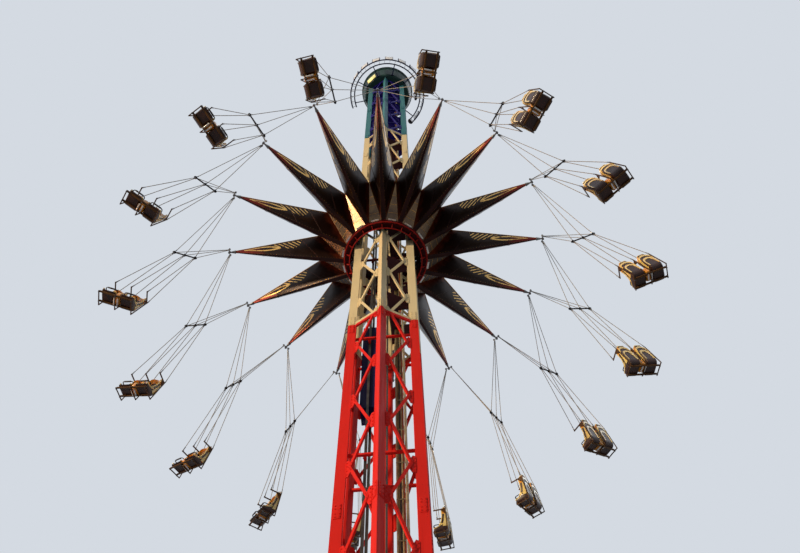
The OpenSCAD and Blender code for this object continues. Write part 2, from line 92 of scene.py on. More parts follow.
def add(tree: bpy.types.NodeTree, kind: str, links: dict[str | int, Link] | None = None,
        values: dict[str | int, object] | None = None,
        stops: Sequence[tuple[float, str]] = (), **settings: object) -> bpy.types.Node:
    """Adds one shader node with its settings and links.

    Args:
        tree: node tree of the material or world.
        kind: type of the node, without the word that all the types start with.
        links: for an input, the node and output that feed it.
        values: for an input, its own value, as a hex code where it is a colour.
        stops: places and hex colours of a colour ramp.
        settings: attributes of the node.

    Returns:
        The new node.
    """
    made = tree.nodes.new("ShaderNode" + kind)
    for name, value in settings.items():
        setattr(made, name, value)
    for name, value in (values or {}).items():
        made.inputs[name].default_value = linear(value) if isinstance(value, str) else value
    for name, (source, output) in (links or {}).items():
        tree.links.new(source.outputs[output], made.inputs[name])
    if stops:
        ramp = made.color_ramp
        while len(ramp.elements) < len(stops):
            ramp.elements.new(1.0)
        for element, (place, code) in zip(ramp.elements, stops):
            element.position = place
            element.color = linear(code)
    return made


def new_material(name: str) -> tuple[bpy.types.Material, bpy.types.NodeTree, bpy.types.Node]:
    """Starts a material.

    Args:
        name: name of the real finish.

    Returns:
        The material, its node tree, and the node that gives places and maps.
    """
    made = bpy.data.materials.new(name)
    made.use_nodes = True
    made.node_tree.nodes.clear()
    return made, made.node_tree, add(made.node_tree, "TexCoord")


def close_material(tree: bpy.types.NodeTree, links: dict[str, Link], values: dict[str, object]
                   ) -> None:
    """Feeds the material's surface.

    Args:
        tree: node tree of the material.
        links: for an input of the surface, the node and output that feed it.
        values: for an input of the surface, its own value.
    """
    shader = add(tree, "BsdfPrincipled", links, values)
    add(tree, "OutputMaterial", {"Surface": (shader, "BSDF")})


# Finishes. Scales are real sizes in millimetres, apart from those that a comment calls coarser


@dataclass(frozen=True)
class Enamel:
    """Two-pack enamel sprayed on steel: soft gloss, slight orange peel, rain streaks that run down."""

    name: str
    colour: str
    streaks: str
    rough: float = 0.40
    gloss: float = 0.22
    coat: float = 0.0
    streak_share: float = 0.35
    # Streaks, peel and chips are drawn a few times coarser, as they are seen from far away
    streak_mm: float = 45.0
    streak_stretch: float = 26.0
    peel_mm: float = 9.0
    chips_per_metre: float = 16.0
    chip: str = "#3A2A26"

    def build(self) -> bpy.types.Material:
        """Makes the material.

        Returns:
            The finished material.
        """
        made, tree, where = new_material(self.name)
        across = 1000 / self.streak_mm
        down = add(tree, "Mapping", {"Vector": (where, "Object")},
                   {"Scale": (across, across, across / self.streak_stretch)})
        streaks = add(tree, "TexNoise", {"Vector": (down, 0)},
                      {"Scale": 1.0, "Detail": 5.0, "Roughness": 0.62})
        fade = add(tree, "TexNoise", {"Vector": (where, "Object")}, {"Scale": 0.9, "Detail": 3.0})
        share = add(tree, "MapRange", {"Value": (streaks, "Fac")},
                    {"From Min": 0.48, "From Max": 0.74, "To Min": 0.0, "To Max": self.streak_share})
        faded = add(tree, "MapRange", {"Value": (fade, "Fac")},
                    {"From Min": 0.3, "From Max": 0.7, "To Min": 0.0, "To Max": 0.22})
        both = add(tree, "Math", {0: (share, 0), 1: (faded, 0)}, operation="MAXIMUM")
        tone = add(tree, "Mix", {"Factor": (both, 0)}, {"A": self.colour, "B": self.streaks},
                   data_type="RGBA")
        specks = add(tree, "TexVoronoi", {"Vector": (where, "Object")},
                     {"Scale": self.chips_per_metre})
        chips = add(tree, "Math", {0: (specks, "Distance")}, {1: 0.055}, operation="LESS_THAN")
        chipped = add(tree, "Mix", {"Factor": (chips, 0), "A": (tone, "Result")}, {"B": self.chip},
                      data_type="RGBA")
        shine = add(tree, "MapRange", {"Value": (streaks, "Fac")},
                    {"From Min": 0.3, "From Max": 0.8, "To Min": self.rough - 0.06,
                     "To Max": self.rough + 0.2})
        peel = add(tree, "TexNoise", {"Vector": (where, "Object")},
                   {"Scale": 1000 / self.peel_mm, "Detail": 2.0})
        bump = add(tree, "Bump", {"Height": (peel, "Fac")}, {"Strength": 0.08, "Distance": 0.002})
        close_material(tree, {"Base Color": (chipped, "Result"), "Roughness": (shine, 0),
                              "Normal": (bump, 0)},
                       {"IOR": 1.5, "Specular IOR Level": self.gloss, "Coat Weight": self.coat,
                        "Coat Roughness": 0.18})
        return made


@dataclass(frozen=True)
class WornMetal:
    """Bare or zinc-coated metal: mottled grain and dull, grimy patches scattered at random."""

    name: str
    colour: str
    dull: str
    rough: float = 0.45
    grain_mm: float = 14.0
    metallic: float = 0.85

    def build(self) -> bpy.types.Material:
        """Makes the material.

        Returns:
            The finished material.
        """
        made, tree, where = new_material(self.name)
        cells = add(tree, "TexVoronoi", {"Vector": (where, "Object")},
                    {"Scale": 1000 / self.grain_mm})
        grime = add(tree, "TexNoise", {"Vector": (where, "Object")}, {"Scale": 5.0, "Detail": 6.0})
        share = add(tree, "MapRange", {"Value": (grime, "Fac")},
                    {"From Min": 0.38, "From Max": 0.68, "To Min": 0.1, "To Max": 0.85})
        tone = add(tree, "Mix", {"Factor": (share, 0)}, {"A": self.colour, "B": self.dull},
                   data_type="RGBA")
        shine = add(tree, "MapRange", {"Value": (cells, "Distance")},
                    {"From Max": 0.8, "To Min": self.rough - 0.08, "To Max": self.rough + 0.12})
        bump = add(tree, "Bump", {"Height": (cells, "Distance")},
                   {"Strength": 0.12, "Distance": 0.001})
        close_material(tree, {"Base Color": (tone, "Result"), "Roughness": (shine, 0),
                              "Normal": (bump, 0)}, {"Metallic": self.metallic})
        return made


@dataclass(frozen=True)
class WireRope:
    """Laid steel rope: bright wires and dark valleys that wind round, read from the rope's own map. The
    dark of the valleys is painted shade between the strands.
    """

    name: str
    bright: str
    valley: str
    lay_mm: float = 60.0
    strands: float = 6.0
    rough: float = 0.55

    def build(self) -> bpy.types.Material:
        """Makes the material.

        Returns:
            The finished material.
        """
        made, tree, where = new_material(self.name)
        parts = add(tree, "SeparateXYZ", {"Vector": (where, "UV")})
        along = add(tree, "Math", {0: (parts, "Y")}, {1: 1000 * math.tau / self.lay_mm},
                    operation="MULTIPLY")
        wound = add(tree, "Math", {0: (parts, "X"), 2: (along, 0)}, {1: self.strands * math.tau},
                    operation="MULTIPLY_ADD")
        wave = add(tree, "Math", {0: (wound, 0)}, operation="SINE")
        height = add(tree, "MapRange", {"Value": (wave, 0)}, {"From Min": -1.0, "From Max": 0.4})
        # Crowns of the wires take the bright colour and the valleys between strands the dark one:
        # painted shade
        tone = add(tree, "Mix", {"Factor": (height, 0)}, {"A": self.valley, "B": self.bright},
                   data_type="RGBA")
        bump = add(tree, "Bump", {"Height": (height, 0)}, {"Strength": 0.3, "Distance": 0.002})
        close_material(tree, {"Base Color": (tone, "Result"), "Normal": (bump, 0)},
                       {"Metallic": 0.25, "Roughness": self.rough, "Specular IOR Level": 0.3})
        return made


@dataclass(frozen=True)
class PrintedSheet:
    """Dark bronze sheet with a clear-coated print: gold bars, a long gold spindle and red ends.

    The piece's map gives the distance from the tip in metres and the share across a keel face.
    """

    name: str
    ground: str = "#24150E"
    shade: str = "#26110B"
    red: str = "#701E15"
    copper: str = "#74311A"
    gold: str = "#D9A049"
    pale: str = "#F2CF86"
    spindle: tuple[float, float] = (0.25, 1.15)
    bars: tuple[float, float] = (0.95, 1.8)
    # Bars are drawn coarser than the real print's strokes, so that they part in the picture
    bar_pitch: float = 0.120
    bar_width: float = 0.036
    bar_slant: float = 0.30

    def arch(self, tree: bpy.types.NodeTree, along: Link, ends: tuple[float, float]) -> Link:
        """Draws a value that rises from 0 to 1 and falls back between two distances from the tip.

        Args:
            tree: node tree of the material.
            along: distance from the tip.
            ends: the two distances.

        Returns:
            The value.
        """
        run = add(tree, "MapRange", {"Value": along}, {"From Min": ends[0], "From Max": ends[1]})
        turn = add(tree, "Math", {0: (run, 0)}, {1: math.pi}, operation="MULTIPLY")
        return add(tree, "Math", {0: (turn, 0)}, operation="SINE"), 0

    def build(self) -> bpy.types.Material:
        """Makes the material.

        Returns:
            The finished material.
        """
        made, tree, where = new_material(self.name)
        parts = add(tree, "SeparateXYZ", {"Vector": (where, "UV")})
        along, across = (parts, "X"), (parts, "Y")
        wear = add(tree, "TexNoise", {"Vector": (where, "Object")},
                   {"Scale": 7.0, "Detail": 6.0, "Roughness": 0.6})
        # Ground colour: oxblood at the tip, near-black bronze, copper-red next to the hub
        reach = add(tree, "Math", {0: (wear, "Fac"), 2: along}, {1: 0.35}, operation="MULTIPLY_ADD")
        place = add(tree, "MapRange", {"Value": (reach, 0)}, {"From Min": 0.15, "From Max": 2.45})
        ground = add(tree, "ValToRGB", {"Fac": (place, 0)},
                     stops=((0.0, self.red), (0.17, self.red), (0.34, self.ground),
                            (0.74, self.ground), (0.92, self.shade), (1.0, self.copper)))
        # Spindle: two gold lines that part and meet again
        belly = self.arch(tree, along, self.spindle)
        half = add(tree, "Math", {0: belly}, {1: 0.20}, operation="MULTIPLY")
        off = add(tree, "Math", {0: across}, {1: 0.62}, operation="SUBTRACT")
        away = add(tree, "Math", {0: (off, 0)}, operation="ABSOLUTE")
        gap = add(tree, "Math", {0: (away, 0), 1: (half, 0)}, operation="SUBTRACT")
        near = add(tree, "Math", {0: (gap, 0)}, operation="ABSOLUTE")
        line = add(tree, "Math", {0: (near, 0)}, {1: 0.055}, operation="LESS_THAN")
        inside = add(tree, "Math", {0: belly}, {1: 0.02}, operation="GREATER_THAN")
        spindle = add(tree, "Math", {0: (line, 0), 1: (inside, 0)}, operation="MULTIPLY")
        # Slanted bars on the upper half of the face
        slant = add(tree, "Math", {0: across, 2: along}, {1: self.bar_slant},
                    operation="MULTIPLY_ADD")
        beat = add(tree, "Math", {0: (slant, 0)}, {1: self.bar_pitch}, operation="MODULO")
        stroke = add(tree, "Math", {0: (beat, 0)}, {1: self.bar_width}, operation="LESS_THAN")
        foot = add(tree, "Math", {0: self.arch(tree, along, self.bars)}, {1: -0.45, 2: 0.96},
                   operation="MULTIPLY_ADD")
        high = add(tree, "Math", {0: across, 1: (foot, 0)}, operation="GREATER_THAN")
        low = add(tree, "Math", {0: across}, {1: 0.93}, operation="LESS_THAN")
        band = add(tree, "Math", {0: (high, 0), 1: (low, 0)}, operation="MULTIPLY")
        bars = add(tree, "Math", {0: (band, 0), 1: (stroke, 0)}, operation="MULTIPLY")
        # Worn print: the gold is broken where the noise is low
        whole = add(tree, "Math", {0: (spindle, 0), 1: (bars, 0)}, operation="MAXIMUM")
        sound = add(tree, "MapRange", {"Value": (wear, "Fac")},
                    {"From Min": 0.34, "From Max": 0.46, "To Min": 0.35})
        mask = add(tree, "Math", {0: (whole, 0), 1: (sound, 0)}, operation="MULTIPLY")
        gold = add(tree, "Mix", {"Factor": (wear, "Fac")}, {"A": self.gold, "B": self.pale},
                   data_type="RGBA")
        tone = add(tree, "Mix", {"Factor": (mask, 0), "A": (ground, "Color"), "B": (gold, "Result")},
                   data_type="RGBA")
        metal = add(tree, "MapRange", {"Value": (mask, 0)}, {"To Min": 0.42, "To Max": 0.70})
        shine = add(tree, "MapRange", {"Value": (wear, "Fac")}, {"To Min": 0.22, "To Max": 0.46})
        dents = add(tree, "TexNoise", {"Vector": (where, "Object")}, {"Scale": 2.6, "Detail": 2.0})
        bump = add(tree, "Bump", {"Height": (dents, "Fac")}, {"Strength": 0.25, "Distance": 0.03})
        close_material(tree, {"Base Color": (tone, "Result"), "Metallic": (metal, 0),
                              "Roughness": (shine, 0), "Normal": (bump, 0)},
                       {"Specular IOR Level": 0.20, "Coat Weight": 0.04, "Coat Roughness": 0.15})
        return made


@dataclass(frozen=True)
class MetallicLacquer:
    """Gold or copper lacquer on folded sheet: bright flake, soft mottling and shallow dents."""

    name: str
    colour: str
    mottle: str
    rough: float = 0.30
    metallic: float = 0.85
    coat: float = 0.08

    def build(self) -> bpy.types.Material:
        """Makes the material.

        Returns:
            The finished material.
        """
        made, tree, where = new_material(self.name)
        flake = add(tree, "TexNoise", {"Vector": (where, "Object")}, {"Scale": 4.5, "Detail": 5.0})
        tone = add(tree, "ValToRGB", {"Fac": (flake, "Fac")},
                   stops=((0.35, self.colour), (0.68, self.mottle)))
        shine = add(tree, "MapRange", {"Value": (flake, "Fac")},
                    {"To Min": self.rough - 0.08, "To Max": self.rough + 0.12})
        dents = add(tree, "TexNoise", {"Vector": (where, "Object")}, {"Scale": 3.2, "Detail": 2.0})
        bump = add(tree, "Bump", {"Height": (dents, "Fac")}, {"Strength": 0.2, "Distance": 0.02})
        close_material(tree, {"Base Color": (tone, "Color"), "Roughness": (shine, 0),
                              "Normal": (bump, 0)},
                       {"Metallic": self.metallic, "Coat Weight": self.coat, "Coat Roughness": 0.2})
        return made


@dataclass(frozen=True)
class Moulding:
    """Moulded plastic, gelcoat, rubber or vinyl: fine texture, faint mottling and handling marks."""

    name: str
    colour: str
    mark: str
    rough: float = 0.35
    coat: float = 0.0
    # Emission strength: only the panel under the cap glows, as a painted highlight
    glow: float = 0.0
    # Grain is drawn coarser than real, as it is seen from far away
    grain_mm: float = 4.0
    relief: float = 0.24

    def build(self) -> bpy.types.Material:
        """Makes the material.

        Returns:
            The finished material.
        """
        made, tree, where = new_material(self.name)
        marks = add(tree, "TexNoise", {"Vector": (where, "Object")},
                    {"Scale": 11.0, "Detail": 6.0, "Roughness": 0.65})
        tone = add(tree, "ValToRGB", {"Fac": (marks, "Fac")},
                   stops=((0.42, self.colour), (0.78, self.mark)))
        grain = add(tree, "TexNoise", {"Vector": (where, "Object")},
                    {"Scale": 1000 / self.grain_mm, "Detail": 2.0})
        shine = add(tree, "MapRange", {"Value": (marks, "Fac")},
                    {"To Min": self.rough - 0.07, "To Max": self.rough + 0.16})
        bump = add(tree, "Bump", {"Height": (grain, "Fac")},
                   {"Strength": self.relief, "Distance": 0.001})
        close_material(tree, {"Base Color": (tone, "Color"), "Roughness": (shine, 0),
                              "Normal": (bump, 0)},
                       {"IOR": 1.48, "Coat Weight": self.coat, "Coat Roughness": 0.08,
                        "Emission Color": self.colour, "Emission Strength": self.glow})
        return made


@dataclass(frozen=True)
class Palette:
    """Every finish of the ride, named for the real one, apart from the glowing paint of a highlight
    under the cap.
    """

    # Lower tower: warm signal red, a little matt, the strongest colour of the picture
    red: Enamel = Enamel("red_enamel", "#E8302A", "#A81E1A", rough=0.50, gloss=0.05)
    # Middle tower: sun-warmed cream that shows rain streaks
    cream: Enamel = Enamel("cream_enamel", "#EBDCB2", "#B8A478", rough=0.50, gloss=0.07)
    # Head posts and their splices: blue-green edges beside the violet
    teal: Enamel = Enamel("teal_enamel", "#3F7F8C", "#2B5560", rough=0.48, gloss=0.08)
    # Head lacing and floors: a deep violet that fills the head
    violet: Enamel = Enamel("violet_enamel", "#2B1E86", "#1B1450", rough=0.48, gloss=0.12)
    # Base plate and ribs: red darkened by splashed dirt
    base: Enamel = Enamel("oxide_red_enamel", "#A3211B", "#5D1512", rough=0.50)
    # Cap: dark green, glossy enough to take a pale edge of light
    cap: Enamel = Enamel("bottle_green_enamel", "#1E3F3A", "#142825", rough=0.30, gloss=0.14, coat=0.05)
    # Seat frames: dark brown that recedes behind the bright mouldings
    seat_frame: Enamel = Enamel("umber_frame_enamel", "#5A3E20", "#35220F", rough=0.42, gloss=0.15)
    # Hoops, plate frames and counterweight: blue that is nearly black
    navy: Enamel = Enamel("navy_enamel", "#15194A", "#0C102A", rough=0.45, gloss=0.08)
    # Carriage and upper cross ties: brown-red; on the carriage its darkness is partly painted shade of
    # the ring
    maroon: Enamel = Enamel("maroon_enamel", "#430E10", "#280A0B", rough=0.42, gloss=0.10)
    # Hub ring, its plates and the flange bolts: deep red
    hub: Enamel = Enamel("hub_red_enamel", "#74130F", "#3E0D0A", rough=0.40, gloss=0.12)
    # Rims and ribs of the carriage: the clearer red circle round the tower
    ring: Enamel = Enamel("ring_red_enamel", "#B3251C", "#7A1812", rough=0.40, gloss=0.12)
    # Floors and guard plates: a dull brown that darkens the inside of the tower
    deck: Enamel = Enamel("umber_enamel", "#4A3038", "#2C1E22", rough=0.60, gloss=0.04)
    # Spreader bars, lap bars and lamp body: satin black
    black: Enamel = Enamel("black_powder_coat", "#17151A", "#2A262A", rough=0.42)
    # Ladder and cable tray: warm, mottled zinc
    zinc: WornMetal = WornMetal("galvanised_steel", "#C2B68C", "#7D7250", metallic=0.55)
    # Counterweight rails: dark steel under grease
    rail: WornMetal = WornMetal("greased_rail_steel", "#5A5650", "#2C2825", rough=0.5)
    # Pins, hubs, sockets and bolts: grey turned steel
    machined: WornMetal = WornMetal("machined_steel", "#8E8E8E", "#56534F", rough=0.34)
    # Ties between the hoops and bars of the hub ring: small bright glints
    bright: WornMetal = WornMetal("polished_stainless", "#E8E6E0", "#C9C4B8", rough=0.22)
    # Second cable of the run: olive brown
    conduit: Moulding = Moulding("olive_cable_sheath", "#B09860", "#7A6740", rough=0.55)
    # Hoist ropes: dark and greasy, with slow twists
    rope: WireRope = WireRope("greased_wire_rope", "#6B6760", "#2C2926", lay_mm=90.0)
    # Swing cables: pale grey-brown lines against the backdrop
    cable: WireRope = WireRope("bright_wire_rope", "#B4AEA2", "#79736A")
    # Keel faces of the arms: near-black bronze with the worn gold print
    arm: PrintedSheet = PrintedSheet("printed_bronze_sheet")
    # Keel strips and cover strips: oxblood that edges the dark faces
    keel: MetallicLacquer = MetallicLacquer("oxblood_bronze_lacquer", "#34120C", "#1C0A07",
                                            rough=0.46, metallic=0.7, coat=0.0)
    # Upper sides of the arms: dull dark bronze
    roof: MetallicLacquer = MetallicLacquer("dark_bronze_lacquer", "#3A2A1E", "#211812",
                                            rough=0.42, metallic=0.6)
    # Edge mouldings and seams: thin gold lines
    trim: MetallicLacquer = MetallicLacquer("gold_anodised_trim", "#C8964A", "#8F6228", rough=0.3)
    # Valley panels: brown in the shade, blazing gold where the low light meets them
    panel: MetallicLacquer = MetallicLacquer("gold_lacquer", "#5A4122", "#3A2614", rough=0.24,
                                             metallic=0.95, coat=0.5)
    # Front of a seat's back, and its console: bright amber
    gelcoat: Moulding = Moulding("amber_gelcoat", "#FFAE2A", "#E68F1B", rough=0.2, coat=0.6)
    # Rolled rim and raised bands of a seat: pale yellow gold
    pale_gelcoat: Moulding = Moulding("pale_gold_gelcoat", "#FFE68C", "#F0C862", rough=0.2,
                                      coat=0.6)
    # Tubs of a seat: brown that is nearly black
    tub: Moulding = Moulding("chocolate_gelcoat", "#2C1208", "#46200E", rough=0.42, coat=0.08)
    # Pads and grips: dark, fine-grained and matt
    vinyl: Moulding = Moulding("black_brown_vinyl", "#1D1210", "#2C1C17", rough=0.48,
                               grain_mm=2.0, relief=0.48)
    # Guide rollers: black and dusty
    tyre: Moulding = Moulding("polyurethane_tyre", "#1A1A1B", "#2D2C2B", rough=0.55)
    # Blank plates and latch covers: clean glossy white
    acrylic: Moulding = Moulding("white_acrylic", "#F2F1EC", "#DEDCD4", rough=0.16, coat=0.4)
    # Face of the oval lamp: dark and glassy
    lamp_face: Moulding = Moulding("smoked_lamp_lens", "#26262C", "#3A3A42", rough=0.12, coat=0.8)
    # Panel under the cap, glowing soft yellow: a painted highlight of the low light on the cap
    lamp_panel: Moulding = Moulding("pale_yellow_diffuser", "#FFE98C", "#FFF6CC", rough=0.2,
                                    glow=0.75)
    # Other cables of the run: brown, sand and orange stripes
    dark_sheath: Moulding = Moulding("brown_cable_sheath", "#4A3826", "#2D2119", rough=0.5)
    pale_sheath: Moulding = Moulding("sand_cable_sheath", "#E2D09C", "#B39E6A", rough=0.5)
    rust_sheath: Moulding = Moulding("orange_cable_sheath", "#C8622E", "#8A4222", rough=0.5)


# Frames

# X runs along Y, Y runs up and Z points out along X: stands a flat shape on its edge
ON_EDGE = Matrix(((0, 0, 1, 0), (1, 0, 0, 0), (0, 1, 0, 0), (0, 0, 0, 1)))
MIRRORED = Matrix.Diagonal((1.0, -1.0, 1.0, 1.0))


def moved(x: float = 0.0, y: float = 0.0, z: float = 0.0) -> Matrix:
    """Frame at a place."""
    return Matrix.Translation((x, y, z))


def rolled(degrees: float, axis: str) -> Matrix:
    """Frame turned about one of its axes."""
    return Matrix.Rotation(math.radians(degrees), 4, axis)


def turned(degrees: float, radius: float = 0.0, height: float = 0.0) -> Matrix:
    """Frame at an angle from +X round the tower's axis, with X pointing out."""
    return moved(z=height) @ rolled(degrees, "Z") @ moved(radius)


def seat_on(origin: Point, along: Point) -> Matrix:
    """Frame at a place whose Z axis runs along a direction, and whose X axis is level.

    Args:
        origin: the place.
        along: direction of the Z axis.

    Returns:
        The frame.
    """
    axis_z = Vector(along).normalized()
    guide = Vector((0.0, 0.0, 1.0))
    if abs(axis_z.dot(guide)) > 0.98:
        guide = Vector((1.0, 0.0, 0.0))
    axis_x = guide.cross(axis_z).normalized()
    axes = Matrix((axis_x, axis_z.cross(axis_x), axis_z)).transposed().to_4x4()
    return Matrix.Translation(Vector(origin)) @ axes


# Shapes


def as_pattern(shape: bmesh.types.BMesh) -> bpy.types.Mesh:
    """Turns a finished bmesh into a mesh that can be stamped many times.

    Args:
        shape: the bmesh.

    Returns:
        The pattern.
    """
    pattern = bpy.data.meshes.new("pattern")
    shape.to_mesh(pattern)
    shape.free()
    return pattern


def bevelled(shape: bmesh.types.BMesh, edges: Sequence[bmesh.types.BMEdge], radius: float,
             steps: int = 2, clamp: bool = False) -> None:
    """Rounds some edges of a shape.

    Args:
        shape: the bmesh.
        edges: edges to round.
        radius: width of the rounding.
        steps: segments of the rounding.
        clamp: whether roundings stop where they meet.
    """
    if radius > 0:
        bmesh.ops.bevel(shape, geom=edges, offset=radius, segments=steps, profile=0.5,
                        affect="EDGES", material=-1, clamp_overlap=clamp)


def sealed(shape: bmesh.types.BMesh, gap: float) -> None:
    """Joins corners that lie together, closes what is open and turns faces outwards.

    Args:
        shape: the bmesh.
        gap: distance within which corners are joined.
    """
    bmesh.ops.remove_doubles(shape, verts=list(shape.verts), dist=gap)
    bmesh.ops.holes_fill(shape, edges=list(shape.edges), sides=0)
    bmesh.ops.recalc_face_normals(shape, faces=list(shape.faces))


def block(size: Point, radius: float = 0.0, centre: Point = (0.0, 0.0, 0.0)) -> bpy.types.Mesh:
    """Block with rounded edges.

    Args:
        size: lengths along X, Y and Z.
        radius: width of the rounding.
        centre: place of its middle.

    Returns:
        The pattern.
    """
    shape = bmesh.new()
    place = Matrix.Translation(Vector(centre)) @ Matrix.Diagonal((*size, 1.0))
    bmesh.ops.create_cube(shape, size=1.0, matrix=place)
    bevelled(shape, list(shape.edges), radius, clamp=True)
    return as_pattern(shape)


def rod(radius: float, length: float, sides: int = 12, chamfer: float = 0.0,
        tip_radius: float | None = None) -> bpy.types.Mesh:
    """Round or many-sided bar that stands on the origin.

    Args:
        radius: radius at the foot.
        length: its length along Z.
        sides: number of sides.
        chamfer: width of the rounding at its ends.
        tip_radius: radius at the far end, if it tapers.

    Returns:
        The pattern.
    """
    shape = bmesh.new()
    far = radius if tip_radius is None else tip_radius
    bmesh.ops.create_cone(shape, cap_ends=True, segments=sides, radius1=radius, radius2=far,
                          depth=length, matrix=moved(z=length / 2))
    rims = [e for e in shape.edges if abs(e.verts[0].co.z - e.verts[1].co.z) < 1e-7]
    bevelled(shape, rims, chamfer)
    return as_pattern(shape)


def lathe(profile: Sequence[tuple[float, float]], steps: int = 24, closed: bool = False
          ) -> bpy.types.Mesh:
    """Shape turned round Z.

    Args:
        profile: radius and height of each corner.
        steps: number of facets round it.
        closed: whether the profile joins its own start, as a ring's does.

    Returns:
        The pattern.
    """
    shape = bmesh.new()
    corners = [shape.verts.new((r, 0.0, z)) for r, z in profile]
    edges = [shape.edges.new(pair) for pair in zip(corners, corners[1:])]
    if closed:
        edges.append(shape.edges.new((corners[-1], corners[0])))
    bmesh.ops.spin(shape, geom=[*corners, *edges], cent=(0, 0, 0), axis=(0, 0, 1),
                   angle=math.tau, steps=steps, use_merge=True)
    bmesh.ops.remove_doubles(shape, verts=list(shape.verts), dist=1e-5)
    bmesh.ops.recalc_face_normals(shape, faces=list(shape.faces))
    return as_pattern(shape)


def plate(outline: Sequence[tuple[float, float]], thickness: float, radius: float = 0.0
          ) -> bpy.types.Mesh:
    """Flat plate with rounded edges, from its corners in X and Y, centred on its plane.

    Args:
        outline: its corners, counterclockwise.
        thickness: its thickness along Z.
        radius: width of the rounding.

    Returns:
        The pattern.
    """
    shape = bmesh.new()
    face = shape.faces.new([shape.verts.new((x, y, -thickness / 2)) for x, y in outline])
    grown = bmesh.ops.extrude_face_region(shape, geom=[face])["geom"]
    raised = [part for part in grown if isinstance(part, bmesh.types.BMVert)]
    bmesh.ops.translate(shape, verts=raised, vec=(0.0, 0.0, thickness))
    bmesh.ops.recalc_face_normals(shape, faces=list(shape.faces))
    bevelled(shape, list(shape.edges), radius, 1, True)
    return as_pattern(shape)


def bent_sheet(columns: int, rows: int, surface: Surface,
               chart: Callable[[float, float], tuple[float, float]] | None = None
               ) -> bpy.types.Mesh:
    """Bends a flat grid into a surface.

    Args:
        columns: cells across.
        rows: cells along.
        surface: gives the place for the shares across and along, each from 0 to 1.
        chart: gives the map's coordinates for the same shares.

    Returns:
        The pattern.
    """
    shape = bmesh.new()
    bmesh.ops.create_grid(shape, x_segments=columns, y_segments=rows, size=1.0)
    shares = {vert: ((vert.co.x + 1) / 2, (vert.co.y + 1) / 2) for vert in shape.verts}
    if chart:
        layer = shape.loops.layers.uv.new("UVMap")
        for face in shape.faces:
            for loop in face.loops:
                loop[layer].uv = chart(*shares[loop.vert])
    for vert, (across, along) in shares.items():
        vert.co = surface(across, along)
    return as_pattern(shape)


def runs_of(points: Sequence[Vector]) -> list[float]:
    """Length of a path up to each of its points.

    Args:
        points: the points.

    Returns:
        The lengths.
    """
    runs = [0.0]
    for a, b in zip(points, points[1:]):
        runs.append(runs[-1] + (b - a).length)
    return runs


def tube(path: Iterable[Point], radius: float, sides: int = 10) -> bpy.types.Mesh:
    """Round bar that follows a path, with a map of turns across and metres along.

    Args:
        path: points that it follows.
        radius: its radius.
        sides: number of sides.

    Returns:
        The pattern.
    """
    points = [Vector(p) for p in path]
    runs = runs_of(points)
    rows = len(points) - 1
    frames = []
    side = None
    for k, point in enumerate(points):
        ahead = (points[min(k + 1, rows)] - points[max(k - 1, 0)]).normalized()
        if side is None:
            side = seat_on(point, ahead).to_3x3().col[0]
        else:
            side = (side - ahead * side.dot(ahead)).normalized()
        frames.append((point, side, ahead.cross(side)))

    def surface(across: float, along: float) -> Vector:
        """Place on the bar.

        Args:
            across: share round it.
            along: share along it.

        Returns:
            The place.
        """
        point, side, over = frames[round(along * rows)]
        return (point + side * (radius * math.cos(across * math.tau))
                + over * (radius * math.sin(across * math.tau)))

    pattern = bent_sheet(sides, rows, surface,
                         lambda across, along: (across, runs[round(along * rows)]))
    shape = bmesh.new()
    shape.from_mesh(pattern)
    bpy.data.meshes.remove(pattern)
    sealed(shape, 1e-6)
    return as_pattern(shape)


class Assembly:
    """Gathers stamped patterns in one mesh."""

    def __init__(self) -> None:
        """Starts with nothing in it."""
        self.shape = bmesh.new()

    def stamp(self, pattern: bpy.types.Mesh, places: Matrix | Iterable[Matrix] = Matrix(),
              paint: int | None = 0) -> None:
        """Adds copies of a pattern.

        Args:
            pattern: the shape to copy.
            places: one frame, or one for each copy.
            paint: index of the finish, or None to keep those of the pattern's own faces.
        """
        for place in ([places] if isinstance(places, Matrix) else places):
            copy = pattern.copy()
            copy.transform(place)
            if place.determinant() < 0:
                copy.flip_normals()
            if paint is not None:
                copy.polygons.foreach_set("material_index", [paint] * len(copy.polygons))
            self.shape.from_mesh(copy)
            bpy.data.meshes.remove(copy)

    def lift(self, height: float) -> None:
        """Raises all that was gathered."""
        bmesh.ops.transform(self.shape, matrix=moved(z=height), verts=list(self.shape.verts))

    def bridge(self) -> None:
        """Joins the rims of two open sheets and turns faces outwards."""
        rims = [edge for edge in self.shape.edges if edge.is_boundary]
        bmesh.ops.bridge_loops(self.shape, edges=rims)
        bmesh.ops.recalc_face_normals(self.shape, faces=list(self.shape.faces))

    def pattern(self) -> bpy.types.Mesh:
        """Gives what was gathered as a pattern, with its finishes kept in its faces."""
        return as_pattern(self.shape)


def hex_bolt(kind: Bolt) -> bpy.types.Mesh:
    """Hexagon bolt head with its washer, standing on the origin.

    Args:
        kind: the size of bolt.

    Returns:
        The pattern.
    """
    across, head, washer = kind.value
    made = Assembly()
    if washer > 0:
        made.stamp(rod(across * 0.72, washer, 10))
    made.stamp(rod(across / 2, head, 6), moved(z=washer))
    return made.pattern()


